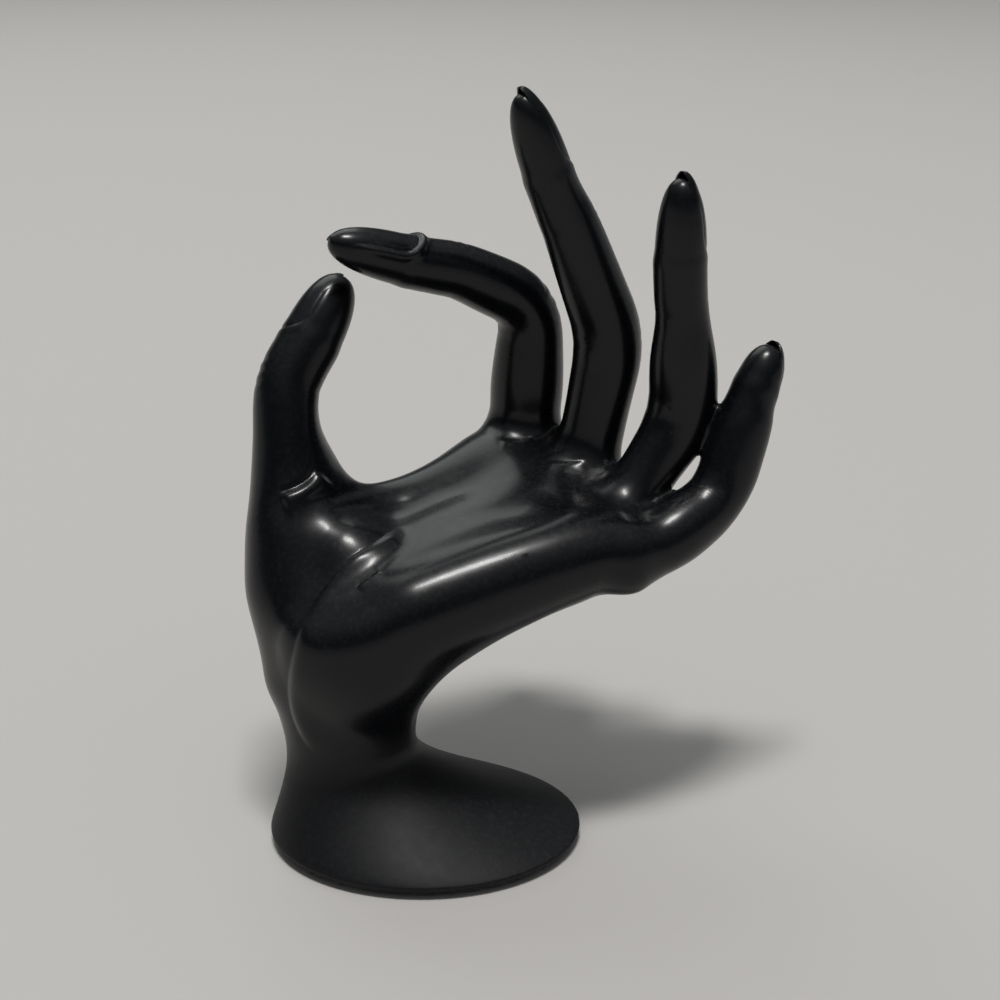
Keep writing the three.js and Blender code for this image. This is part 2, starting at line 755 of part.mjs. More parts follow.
function wire(name) {
  const route = wireRoute(name, BUNDLE[name], POCKET_TOP + GAP, WIRE_END_COVER + GAP);
  return rod(route, WIRE_DIAMETER);
}

// Channel round a wire, opening into the pocket
function channel(name) {
  const route = wireRoute(name, BUNDLE[name], POCKET_TOP - GAP, WIRE_END_COVER);
  return rod(route, WIRE_DIAMETER + 2 * WIRE_CLEARANCE);
}

// Hand, wrist and foot in one casting, cut flat above the pad, with the weight's pocket and the channels
function handCasting() {
  const spare = 2 * CELL;
  const underside = PAD_THICKNESS + GAP;
  const box = new THREE.Box3();
  for (const digit of Object.values(digits)) box.union(digit.box);
  box.expandByPoint(vector(-FOOT_LENGTH / 2, -FOOT_DEPTH / 2, underside - spare));
  box.expandByPoint(vector(FOOT_LENGTH / 2, FOOT_DEPTH / 2, underside - spare));
  box.expandByScalar(spare);
  const field = (p) => Math.max(handDistance(p), underside - spare - p.z);
  const blank = solidOf(skin(field, box));
  const size = box.getSize(vector(0, 0, 0)).multiplyScalar(2);
  const floor = new THREE.BoxGeometry(...size).translate(0, 0, underside - size.z / 2);
  const pocketLength = WEIGHT_LENGTH + 2 * GAP;
  const pocketDepth = WEIGHT_DEPTH + 2 * GAP;
  const pocket = ovalSlab(pocketLength, pocketDepth, POCKET_TOP, WEIGHT_CENTRE, 0);
  const cuts = [floor, pocket, ...Object.keys(digits).map(channel)];
  return geometryOf(cuts.reduce((solid, cut) => solid.subtract(solidOf(cut)), blank));
}

const model = new THREE.Group();

function addPiece(name, geometry, finish) {
  const mesh = new THREE.Mesh(geometry, new THREE.MeshStandardMaterial(finish));
  mesh.name = name;
  model.add(mesh);
}

const pad = ovalSlab(FOOT_LENGTH - 2 * PAD_INSET, FOOT_DEPTH - 2 * PAD_INSET, PAD_THICKNESS, [0, 0], 0);
const weight = ovalSlab(WEIGHT_LENGTH, WEIGHT_DEPTH, WEIGHT_HEIGHT, WEIGHT_CENTRE, PAD_THICKNESS + GAP);

addPiece('hand_casting', handCasting(), RESIN);
addPiece('foot_weight', weight, STEEL);
addPiece('felt_pad', pad, FELT);
for (const name of Object.keys(digits)) addPiece(`${name}_wire`, wire(name), WIRE);

export default model;
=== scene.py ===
"""Hand jewelry holder: a cast black resin hand on a flared oval foot, dressed for the studio.

The hand is sculpted as one field of blended forms on a skeleton of bones, meshed, refined where it has
fine detail, and then creased and fitted with fingernails. Lengths are in millimetres until a mesh is made.
"""

import logging
import math
from dataclasses import dataclass, field, replace
from enum import Enum
from typing import Callable, Iterable, Optional, Sequence

import bpy
import numpy as np
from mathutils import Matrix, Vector
from mathutils.bvhtree import BVHTree

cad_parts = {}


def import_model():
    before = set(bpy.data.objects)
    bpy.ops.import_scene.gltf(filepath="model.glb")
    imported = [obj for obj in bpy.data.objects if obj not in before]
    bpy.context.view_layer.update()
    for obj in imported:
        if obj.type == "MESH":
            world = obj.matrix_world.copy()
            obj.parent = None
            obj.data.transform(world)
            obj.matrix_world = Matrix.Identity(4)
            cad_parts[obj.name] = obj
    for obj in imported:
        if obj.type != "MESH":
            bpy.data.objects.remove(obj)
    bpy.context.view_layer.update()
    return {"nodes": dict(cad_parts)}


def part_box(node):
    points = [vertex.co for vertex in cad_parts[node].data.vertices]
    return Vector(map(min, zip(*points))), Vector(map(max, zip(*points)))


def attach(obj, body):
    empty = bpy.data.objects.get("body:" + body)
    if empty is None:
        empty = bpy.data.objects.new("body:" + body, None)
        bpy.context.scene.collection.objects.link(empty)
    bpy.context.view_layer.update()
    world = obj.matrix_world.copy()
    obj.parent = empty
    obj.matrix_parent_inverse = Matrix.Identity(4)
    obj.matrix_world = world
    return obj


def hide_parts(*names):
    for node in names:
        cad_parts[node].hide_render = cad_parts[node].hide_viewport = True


LOG = logging.getLogger("hand_jewelry_holder")

MM = 0.001
BODY = "root"
TINY = 1e-9

Array = np.ndarray
Pair = tuple[float, float]
Triple = tuple[float, float, float]
Field = Callable[[Array], Array]


def vector(*values: float) -> Array:
    """Return the values as an array of floats."""
    return np.array(values, dtype=float)


def unit(values: Array) -> Array:
    """Return a vector, or each row of vectors, at length one."""
    return values / np.linalg.norm(values, axis=-1, keepdims=True)


def sin(degrees: float) -> float:
    """Return the sine of an angle in degrees."""
    return math.sin(math.radians(degrees))


def cos(degrees: float) -> float:
    """Return the cosine of an angle in degrees."""
    return math.cos(math.radians(degrees))


def ease(share: Array) -> Array:
    """Return shares from 0 to 1 with a soft start and end."""
    share = np.clip(share, 0.0, 1.0)
    return share * share * (3.0 - 2.0 * share)


def bell(distance: Array, width: float) -> Array:
    """Return a bell curve of height one over a distance."""
    return np.exp(-((distance / width) ** 2))


def blend(first: Array, second: Array, width: float) -> Array:
    """Return the smooth union of two distances.

    Args:
        first: Distances to one form.
        second: Distances to the other form.
        width: How far from the meeting line the forms run into each other.

    Returns:
        Distances to both forms together.
    """
    overlap = np.maximum(width - np.abs(first - second), 0.0) / width
    return np.minimum(first, second) - overlap * overlap * width * 0.25


def trim(first: Array, second: Array, width: float) -> Array:
    """Return the smooth intersection of two distances."""
    return -blend(-first, -second, width)


def oval_distance(places: Sequence[Array], radii: Sequence) -> Array:
    """Return the near-distance to an ellipse or ellipsoid.

    Args:
        places: Coordinates of the points along each of its axes.
        radii: Its radius along each axis.

    Returns:
        Distances, below zero inside.
    """
    scale = np.sqrt(sum((place / radius) ** 2 for place, radius in zip(places, radii)))
    slope = np.sqrt(sum((place / radius**2) ** 2 for place, radius in zip(places, radii)))
    return scale * (scale - 1.0) / (slope + TINY)


@dataclass(frozen=True)
class Ellipsoid:
    """A solid ellipsoid."""

    centre: Array
    axes: Array
    radii: Triple

    def distance(self, points: Array) -> Array:
        """Return the distances of points to its surface."""
        places = (points - self.centre) @ self.axes.T
        return oval_distance(places.T, self.radii)


@dataclass(frozen=True)
class Fingertip:
    """The flesh of a fingertip: a rounded form, blunter than an ellipsoid."""

    centre: Array
    axes: Array
    radii: Triple
    bluntness: float

    def distance(self, points: Array) -> Array:
        """Return the distances of points to its surface.

        Args:
            points: Points in millimetres, one in each row.

        Returns:
            Distances in millimetres, below zero inside.
        """
        along, across, out = np.abs((points - self.centre) @ self.axes.T).T
        round_place = np.hypot(across / self.radii[1], out / self.radii[2]) + TINY
        long_place = along / self.radii[0] + TINY
        power = self.bluntness
        scale = (long_place**power + round_place**power) ** (1.0 / power)
        long_slope = (long_place / scale) ** (power - 1.0) / self.radii[0]
        round_slope = (round_place / scale) ** (power - 1.0) / self.radii[1]
        return (scale - 1.0) / np.hypot(long_slope, round_slope)


@dataclass(frozen=True)
class Bar:
    """A round bar that tapers from one end to the other."""

    start: Array
    end: Array
    start_radius: float
    end_radius: float

    def distance(self, points: Array) -> Array:
        """Return the distances of points to its surface.

        Args:
            points: Points in millimetres, one in each row.

        Returns:
            Distances in millimetres, below zero inside.
        """
        run = self.end - self.start
        offset = points - self.start
        share = np.clip(offset @ run / (run @ run), 0.0, 1.0)
        radius = self.start_radius + (self.end_radius - self.start_radius) * share
        return np.linalg.norm(offset - share[:, None] * run, axis=1) - radius


@dataclass(frozen=True)
class Posture:
    """Place of the carpus, and the turn, rise and roll of the palm."""

    root: Triple = (-16.0, -2.0, 47.0)
    turn: float = 55.5
    rise: float = 16.5
    roll: float = 5.3

    @property
    def distal(self) -> Array:
        """Direction along the palm, away from the wrist."""
        level = cos(self.rise)
        return vector(sin(self.turn) * level, cos(self.turn) * level, sin(self.rise))

    @property
    def radial(self) -> Array:
        """Direction across the palm, to the thumb side.

        Returns:
            A direction of length one.
        """
        level = vector(-cos(self.turn), sin(self.turn), 0.0)
        upright = np.cross(self.distal, level)
        return cos(self.roll) * level + sin(self.roll) * upright

    @property
    def palmar(self) -> Array:
        """Direction out of the palm."""
        return np.cross(self.distal, self.radial)

    def direction(self, reach: float, side: float, lift: float) -> Array:
        """Return a direction given along the hand's own axes."""
        return reach * self.distal + side * self.radial + lift * self.palmar

    def point(self, place: Triple) -> Array:
        """Return a point given along the hand's own axes."""
        return vector(*self.root) + self.direction(*place)

    def flesh_axes(self, along: Array) -> Array:
        """Return the axes of an ellipsoid laid along a direction, flat to the palm."""
        across = unit(np.cross(self.palmar, along))
        return np.array([along, across, np.cross(along, across)])


@dataclass(frozen=True)
class Chain:
    """Joints of a digit from its root to its tip, and the axis that they bend about."""

    joints: Array
    axis: Array

    @classmethod
    def flexed(cls, start: Array, straight: Array, up: Array, bones: Triple, flex: Triple) -> "Chain":
        """Return a chain whose bones each bend from the one before.

        Args:
            start: Place of the first joint.
            straight: Direction of a bone that isn't flexed.
            up: Direction that bones flex to.
            bones: Lengths of the bones.
            flex: Angle of each bone from the one before.

        Returns:
            The chain of joints.
        """
        angles = np.radians(np.cumsum(flex))
        runs = np.outer(np.cos(angles), straight) + np.outer(np.sin(angles), up)
        places = np.cumsum(runs * np.array(bones)[:, None], axis=0)
        return cls(np.vstack([start, start + places]), unit(np.cross(straight, up)))


@dataclass(frozen=True)
class PalmBar:
    """Flesh over a metacarpal, from the carpus to just above the knuckle."""

    start: Triple
    start_radius: float
    end_lift: float
    end_radius: float


@dataclass(frozen=True)
class BackRidge:
    """Ridge on the back of the hand that runs out at a knuckle."""

    start: Triple
    start_radius: float
    end_radius: float


@dataclass(frozen=True)
class FingerSizes:
    """Sizes and bends of a finger."""

    name: str
    knuckle: Triple
    bones: Triple
    flex: Triple
    splay: float
    twist: float
    bends: Pair
    radii: tuple[float, ...]
    free_edge: float
    bar: PalmBar
    ridge: Optional[BackRidge] = None

    def chain(self, hand: Posture) -> Chain:
        """Return the finger's joints on a hand.

        Args:
            hand: Posture of the hand that it grows from.

        Returns:
            The joints, from the root to the tip.
        """
        straight = hand.direction(cos(self.splay), sin(self.splay), 0.0)
        side = hand.direction(-sin(self.splay), cos(self.splay), 0.0)
        up = cos(self.twist) * hand.palmar + sin(self.twist) * side
        return Chain.flexed(hand.point(self.knuckle), straight, up, self.bones, self.flex)


@dataclass(frozen=True)
class ThumbSizes:
    """Sizes and bends of the thumb."""

    name: str
    root: Triple
    bones: Triple
    swing: float
    lift: float
    flex: Pair
    twist: float
    bends: Pair
    radii: tuple[float, ...]
    free_edge: float

    def chain(self, hand: Posture) -> Chain:
        """Return the thumb's joints on a hand.

        Args:
            hand: Posture of the hand that it grows from.

        Returns:
            The joints, from the root to the tip.
        """
        flat = cos(self.lift)
        straight = hand.direction(flat * cos(self.swing), flat * sin(self.swing), sin(self.lift))
        along = unit(hand.distal - straight * (hand.distal @ straight))
        up = cos(self.twist) * along + sin(self.twist) * np.cross(straight, along)
        return Chain.flexed(hand.point(self.root), straight, up, self.bones, (0.0, *self.flex))


FINGERS = (
    FingerSizes(
        name="index",
        knuckle=(68.5, 24.7, 4.7),
        bones=(40.5, 23.4, 32.5),
        flex=(72.0, 65.0, 14.5),
        splay=-9.3,
        twist=5.5,
        bends=(9.0, 6.0),
        radii=(8.1, 9.2, 7.7, 7.5, 6.8, 6.2),
        free_edge=0.6,
        bar=PalmBar((4.0, 9.0, -1.0), 9.5, 2.7, 9.0),
        ridge=BackRidge((18.0, 14.8, -3.0), 5.5, 7.6),
    ),
    FingerSizes(
        name="middle",
        knuckle=(71.2, 5.4, 2.3),
        bones=(38.5, 31.0, 34.0),
        flex=(63.0, 34.0, 4.5),
        splay=-7.5,
        twist=6.6,
        bends=(8.0, 6.0),
        radii=(8.1, 7.9, 8.4, 7.8, 6.9, 5.9),
        free_edge=1.7,
        bar=PalmBar((4.0, 3.0, 3.5), 9.5, 3.2, 8.7),
        ridge=BackRidge((18.0, 3.2, -3.0), 5.5, 7.6),
    ),
    FingerSizes(
        name="ring",
        knuckle=(66.5, -11.4, 1.7),
        bones=(31.6, 26.7, 32.4),
        flex=(35.0, 44.5, 3.4),
        splay=-3.0,
        twist=2.9,
        bends=(8.0, 6.0),
        radii=(7.7, 7.1, 8.1, 8.0, 6.2, 6.0),
        free_edge=1.7,
        bar=PalmBar((4.0, -4.0, 0.0), 11.3, 1.2, 7.0),
    ),
    FingerSizes(
        name="little",
        knuckle=(60.3, -25.8, 2.2),
        bones=(28.6, 19.6, 19.0),
        flex=(5.5, 47.5, -0.8),
        splay=-1.0,
        twist=7.1,
        bends=(8.0, 6.0),
        radii=(6.5, 8.0, 7.1, 7.1, 6.6, 5.4),
        free_edge=1.4,
        bar=PalmBar((14.0, -11.0, 9.5), 5.3, 4.0, 5.0),
    ),
)

THUMB = ThumbSizes(
    name="thumb",
    root=(-7.2, 11.3, -6.6),
    bones=(39.6, 27.4, 28.2),
    swing=49.5,
    lift=55.0,
    flex=(5.5, 33.5),
    twist=-12.8,
    bends=(8.0, 7.0),
    radii=(7.5, 11.7, 7.6, 7.9, 7.7, 7.3),
    free_edge=0.5,
)


class Joint(Enum):
    """Joints that a digit's creases lie at, as places in its list of stations."""

    MIDDLE = 1
    END = 2


class Side(Enum):
    """Side of a digit, as the angle that it faces from the palm."""

    PALM = 0.0
    BACK = math.pi


@dataclass(frozen=True)
class DigitPlaces:
    """Where points lie round a digit: along its centre line, round it and out from it."""

    station: Array
    angle: Array
    distance: Array


@dataclass
class Digit:
    """A digit: a tube of varying radius along eased bones, with a blunt rounded fingertip."""

    name: str
    chain: Chain
    bends: Pair
    radii: tuple[float, ...]
    flatness: float = 0.95
    pulp_share: float = 0.35
    tip_lift: float = 6.0
    tip_blend: float = 1.2
    free_edge: float = 1.0
    bluntness: float = 2.4
    reach: float = 20.0
    bend_steps: int = 12

    def __post_init__(self) -> None:
        """Work out the fingertip, the centre line and the run of radii along it."""
        _, _, end, tip = self.chain.joints
        self.pulp = end + self.pulp_share * (tip - end)
        last = unit(tip - end)
        palmward = np.cross(self.chain.axis, last)
        self.tipward = cos(self.tip_lift) * last - sin(self.tip_lift) * palmward
        self.backward = np.cross(self.tipward, self.chain.axis)
        self.tip_length = float(np.linalg.norm(tip - self.pulp))
        self.tip_radius = self.radii[-1]
        axes = np.array([self.tipward, self.chain.axis, self.backward])
        flesh = self.tip_length - self.free_edge
        radii = (flesh, self.tip_radius, self.tip_radius * self.flatness)
        self.tip = Fingertip(self.pulp, axes, radii, self.bluntness)
        self.line = self._centre_line()
        lengths = np.linalg.norm(np.diff(self.line, axis=0), axis=1)
        self.stations = np.concatenate([[0.0], np.cumsum(lengths)])
        self._place_radii()
        margin = max(self.radii) + self.reach
        corners = np.vstack([self.line, tip])
        self.low = corners.min(axis=0) - margin
        self.high = corners.max(axis=0) + margin

    def _centre_line(self) -> Array:
        """Return points along the bones, with each corner eased by a quadratic curve.

        Returns:
            The points, from the root to the tip.
        """
        joints = self.chain.joints
        points = [joints[0]]
        share = np.linspace(0.0, 1.0, self.bend_steps + 1)[:, None]
        for i, bend in enumerate(self.bends, start=1):
            start = joints[i] + bend * unit(joints[i - 1] - joints[i])
            end = joints[i] + bend * unit(joints[i + 1] - joints[i])
            corner = 2.0 * share * (1.0 - share) * joints[i]
            points.extend((1.0 - share) ** 2 * start + corner + share**2 * end)
        points.append(self.pulp)
        return np.array(points)

    def _place_radii(self) -> None:
        """Stand the radii at the joints, half way between them and at the pulp, with smooth slopes."""
        half = self.bend_steps // 2
        middle = self.stations[1 + half]
        end = self.stations[2 + self.bend_steps + half]
        last = self.stations[-1]
        self.joint_stations = (0.0, middle, end)
        self.marks = np.array([0.0, middle / 2.0, middle, (middle + end) / 2.0, end, last])
        spans = np.diff(self.marks)
        rises = np.diff(self.radii) / spans
        inner = (rises[:-1] * spans[1:] + rises[1:] * spans[:-1]) / (spans[:-1] + spans[1:])
        self.slopes = np.concatenate([[0.0], inner, [0.0]])

    def radius(self, station: Array) -> Array:
        """Return the tube's radius at stations along the centre line.

        Args:
            station: Lengths along the centre line.

        Returns:
            A radius for each station.
        """
        i = np.clip(np.searchsorted(self.marks, station) - 1, 0, len(self.marks) - 2)
        span = self.marks[i + 1] - self.marks[i]
        t = np.clip((station - self.marks[i]) / span, 0.0, 1.0)
        radii = np.array(self.radii)
        lean = self.slopes[i] * t * (1.0 - t) ** 2 - self.slopes[i + 1] * t**2 * (1.0 - t)
        return radii[i] + (radii[i + 1] - radii[i]) * ease(t) + span * lean

    def _nearest(self, points: Array) -> tuple[Array, Array, Array]:
        """Find the nearest place on the centre line.

        Args:
            points: Points to look from.

        Returns:
            The station, the offset from the line, and the line's direction there, for each point.
        """
        least = np.full(len(points), np.inf)
        station = np.zeros(len(points))
        offset = np.zeros_like(points)
        heading = np.zeros_like(points)
        for i, start in enumerate(self.line[:-1]):
            run = self.line[i + 1] - start
            away = points - start
            share = np.clip(away @ run / (run @ run), 0.0, 1.0)
            away -= share[:, None] * run
            gap = np.einsum("ij,ij->i", away, away)
            closer = gap < least
            least[closer] = gap[closer]
            station[closer] = self.stations[i] + share[closer] * np.linalg.norm(run)
            offset[closer] = away[closer]
            heading[closer] = unit(run)
        return station, offset, heading

    def distance(self, points: Array) -> Array:
        """Return the distances of points to the digit's surface.

        Args:
            points: Points in millimetres, one in each row.

        Returns:
            Distances in millimetres, below zero inside.
        """
        result = np.full(len(points), 2.0 * self.reach)
        near = np.all((points > self.low) & (points < self.high), axis=1)
        if not near.any():
            return result
        close = points[near]
        station, offset, _ = self._nearest(close)
        radius = self.radius(station)
        sideways = offset @ self.chain.axis
        outward = np.sqrt(np.maximum(np.einsum("ij,ij->i", offset, offset) - sideways**2, 0.0))
        tube = oval_distance((sideways, outward), (radius, radius * self.flatness))
        result[near] = blend(tube, self.tip.distance(close), self.tip_blend)
        return result

    def places(self, points: Array) -> DigitPlaces:
        """Return where points lie along, round and out from the digit.

        Args:
            points: Points in millimetres, one in each row.

        Returns:
            The places of all the points.
        """
        station, offset, heading = self._nearest(points)
        palmward = np.cross(self.chain.axis, heading)
        across = offset @ self.chain.axis
        out = np.einsum("ij,ij->i", offset, palmward)
        return DigitPlaces(station, np.arctan2(across, out), np.linalg.norm(offset, axis=1))


@dataclass
class WristAndFoot:
    """Wrist and foot: an oval that slides and spreads from the wrist's to the foot's."""

    wrist_width: float = 28.0
    wrist_depth: float = 25.0
    wrist_axis: Pair = (-17.0, 2.5)
    crown: float = 53.0
    crown_ease: float = 6.0
    foot_length: float = 71.0
    foot_depth: float = 55.0
    rim_top: float = 3.0
    flare_top: float = 25.5
    flare_knee: float = 1.2
    flare_sweep: float = 2.3
    underside: float = 1.8
    edge_ease: float = 1.4

    def distance(self, points: Array) -> Array:
        """Return the distances of points to the wrist and foot.

        Args:
            points: Points in millimetres, one in each row.

        Returns:
            Distances in millimetres, below zero inside.
        """
        height = (points[:, 2] - self.rim_top) / (self.flare_top - self.rim_top)
        share = (1.0 - np.clip(height, 0.0, 1.0) ** self.flare_knee) ** self.flare_sweep
        x = points[:, 0] - self.wrist_axis[0] * (1.0 - share)
        y = points[:, 1] - self.wrist_axis[1] * (1.0 - share)
        half_width = (self.wrist_width + (self.foot_length - self.wrist_width) * share) / 2.0
        half_depth = (self.wrist_depth + (self.foot_depth - self.wrist_depth) * share) / 2.0
        around = oval_distance((x, y), (half_width, half_depth))
        return trim(around, points[:, 2] - self.crown, self.crown_ease)

    def floor(self, distances: Array, points: Array) -> Array:
        """Return distances with the foot cut flat underneath, its edge slightly rounded."""
        return trim(distances, self.underside - points[:, 2], self.edge_ease)

    def near_rim(self, points: Array, reach: float) -> Array:
        """Return which points lie within reach of the foot's rim.

        Args:
            points: Points in millimetres, one in each row.
            reach: The distance that still counts as near.

        Returns:
            True for each point that is near.
        """
        halves = (self.foot_length / 2.0, self.foot_depth / 2.0)
        around = oval_distance((points[:, 0], points[:, 1]), halves)
        return (np.abs(around) < reach) & (points[:, 2] < self.rim_top + reach)


@dataclass
class HandForms:
    """The whole hand as one field of blended forms."""

    posture: Posture = field(default_factory=Posture)
    base: WristAndFoot = field(default_factory=WristAndFoot)
    heel_centre: Triple = (33.0, -14.4, 9.6)
    heel_radii: Triple = (30.0, 8.2, 8.2)
    heel_from: Triple = (0.0, -8.0, 4.0)
    heel_to: Triple = (52.0, -22.0, 3.0)
    hollow_centre: Triple = (26.0, 3.0, 7.6)
    hollow_radii: Triple = (28.0, 13.0, 8.0)
    finger_pad_start: Triple = (58.0, 20.0, 5.0)
    finger_pad_end: Triple = (54.0, -12.0, 3.5)
    finger_pad_radii: Pair = (7.0, 5.5)
    thumb_ball_share: float = 0.62
    thumb_ball_offset: Triple = (4.3, 2.3, -4.2)
    thumb_ball_radii: Triple = (33.0, 12.3, 13.8)
    crest_start: Triple = (9.4, 17.2, 16.0)
    crest_end: Triple = (11.2, 13.4, 14.6)
    crest_radius: float = 9.0
    web_share: float = 0.8
    web_end: Triple = (54.2, 22.7, 8.3)
    web_radii: Pair = (4.2, 5.2)
    radius_end_height: float = 28.0
    radius_end_lean: float = 1.0
    radius_end_radii: Pair = (5.0, 6.0)
    ridge_end: Triple = (-3.0, 0.0, -1.0)
    wrist_blend: float = 12.0
    bar_blend: float = 13.0
    ridge_blend: float = 6.0
    heel_blend: float = 8.0
    thumb_ball_blend: float = 8.0
    crest_blend: float = 4.0
    web_blend: float = 9.0
    digit_blend: float = 5.0
    beside_blend: float = 2.2
    flesh: float = 0.6

    def __post_init__(self) -> None:
        """Build the digits and the forms of the palm."""
        hand = self.posture
        self.digits = {
            sizes.name: Digit(
                sizes.name, sizes.chain(hand), sizes.bends, sizes.radii, free_edge=sizes.free_edge
            )
            for sizes in (THUMB, *FINGERS)
        }
        root, knuckle = self.digits["thumb"].chain.joints[:2]
        self.bars = [self._palm_bar(sizes) for sizes in FINGERS]
        self.ridges = [self._back_ridge(sizes) for sizes in FINGERS if sizes.ridge]
        self.ridges.append(self._radius_end(root))
        heelward = unit(hand.point(self.heel_to) - hand.point(self.heel_from))
        self.heel = Ellipsoid(hand.point(self.heel_centre), hand.flesh_axes(heelward), self.heel_radii)
        hollow_centre = hand.point(self.hollow_centre)
        self.hollow = Ellipsoid(hollow_centre, hand.flesh_axes(heelward), self.hollow_radii)
        pad_ends = hand.point(self.finger_pad_start), hand.point(self.finger_pad_end)
        self.finger_pad = Bar(*pad_ends, *self.finger_pad_radii)
        ball = root + self.thumb_ball_share * (knuckle - root) + hand.direction(*self.thumb_ball_offset)
        self.thumb_ball = Ellipsoid(ball, hand.flesh_axes(unit(knuckle - root)), self.thumb_ball_radii)
        crest_ends = hand.point(self.crest_start), hand.point(self.crest_end)
        self.crest = Bar(*crest_ends, self.crest_radius, self.crest_radius)
        web_start = root + self.web_share * (knuckle - root)
        self.web = Bar(web_start, hand.point(self.web_end), *self.web_radii)

    def _palm_bar(self, sizes: FingerSizes) -> Bar:
        """Return the flesh over a finger's metacarpal.

        Args:
            sizes: Sizes of the finger.

        Returns:
            A bar from the wrist to the knuckle.
        """
        reach, side, lift = sizes.knuckle
        end = self.posture.point((reach, side, lift + sizes.bar.end_lift))
        start = self.posture.point(sizes.bar.start)
        return Bar(start, end, sizes.bar.start_radius, sizes.bar.end_radius)

    def _back_ridge(self, sizes: FingerSizes) -> Bar:
        """Return the ridge on the back of the hand behind a finger.

        Args:
            sizes: Sizes of the finger.

        Returns:
            A bar that runs to the knuckle.
        """
        end = self.posture.point(sizes.knuckle) + self.posture.direction(*self.ridge_end)
        start = self.posture.point(sizes.ridge.start)
        return Bar(start, end, sizes.ridge.start_radius, sizes.ridge.end_radius)

    def _radius_end(self, thumb_root: Array) -> Bar:
        """Return the end of the forearm's bone, from the thumb's root into the wrist.

        Args:
            thumb_root: Place of the thumb's root.

        Returns:
            A bar between the two.
        """
        wrist = vector(*self.base.wrist_axis, self.radius_end_height)
        lean = (thumb_root - wrist) * vector(1.0, 1.0, 0.0)
        return Bar(thumb_root, wrist + self.radius_end_lean * unit(lean), *self.radius_end_radii)

    def _palm(self, points: Array) -> Array:
        """Return the distances of points to the flesh of the palm and the back of the hand.

        Args:
            points: Points in millimetres, one in each row.

        Returns:
            Distances in millimetres, below zero inside.
        """
        result = self.bars[0].distance(points)
        for bar in self.bars[1:]:
            result = blend(result, bar.distance(points), self.bar_blend)
        for ridge in self.ridges:
            result = blend(result, ridge.distance(points), self.ridge_blend)
        result = blend(result, self.heel.distance(points), self.heel_blend)
        result = blend(result, self.hollow.distance(points), self.heel_blend)
        return blend(result, self.finger_pad.distance(points), self.bar_blend)

    def distance(self, points: Array) -> Array:
        """Return the distances of points to the whole casting.

        Args:
            points: Points in millimetres, one in each row.

        Returns:
            Distances in millimetres, below zero inside.
        """
        body = blend(self.base.distance(points), self._palm(points), self.wrist_blend)
        thumb_ball = blend(self.thumb_ball.distance(points), self.crest.distance(points), self.crest_blend)
        body = blend(body, thumb_ball, self.thumb_ball_blend)
        body = blend(body, self.web.distance(points), self.web_blend) - self.flesh
        first, *others = (digit.distance(points) for digit in self.digits.values())
        for other in others:
            first = blend(first, other, self.beside_blend)
        return self.base.floor(blend(body, first, self.digit_blend), points)

    def box(self) -> tuple[Array, Array]:
        """Return the lowest and highest corners of a box round the casting.

        Returns:
            The lowest corner and the highest.
        """
        spare = 4.0
        half = vector(self.base.foot_length / 2.0, self.base.foot_depth / 2.0, 0.0)
        lows = [-half, *(digit.low + digit.reach for digit in self.digits.values())]
        highs = [half, *(digit.high - digit.reach for digit in self.digits.values())]
        return np.min(lows, axis=0) - spare, np.max(highs, axis=0) + spare


CELL_CORNERS = 8
ALL_INSIDE = 255
CORNERS = np.array([(i, j, k) for k in (0, 1) for j in (0, 1) for i in (0, 1)])
CELL_EDGES = [(a, a | bit) for a in range(CELL_CORNERS) for bit in (1, 2, 4) if not a & bit]


def holds_one_sheet(mask: int) -> bool:
    """Tell whether a cell's inside corners, and its outside ones, each hang together along its edges.

    Args:
        mask: Which of the cell's corners lie inside, as bits.

    Returns:
        True if one sheet of surface at most runs through the cell.
    """
    for corners in (mask, ~mask & ALL_INSIDE):
        reached = corners & -corners
        for _ in range(CELL_CORNERS - 1):
            for corner in range(CELL_CORNERS):
                beside = (1 << (corner ^ 1)) | (1 << (corner ^ 2)) | (1 << (corner ^ 4))
                if corners & (1 << corner) and reached & beside:
                    reached |= 1 << corner
        if reached != corners:
            return False
    return True


ONE_SHEET = np.array([holds_one_sheet(mask) for mask in range(ALL_INSIDE + 1)])


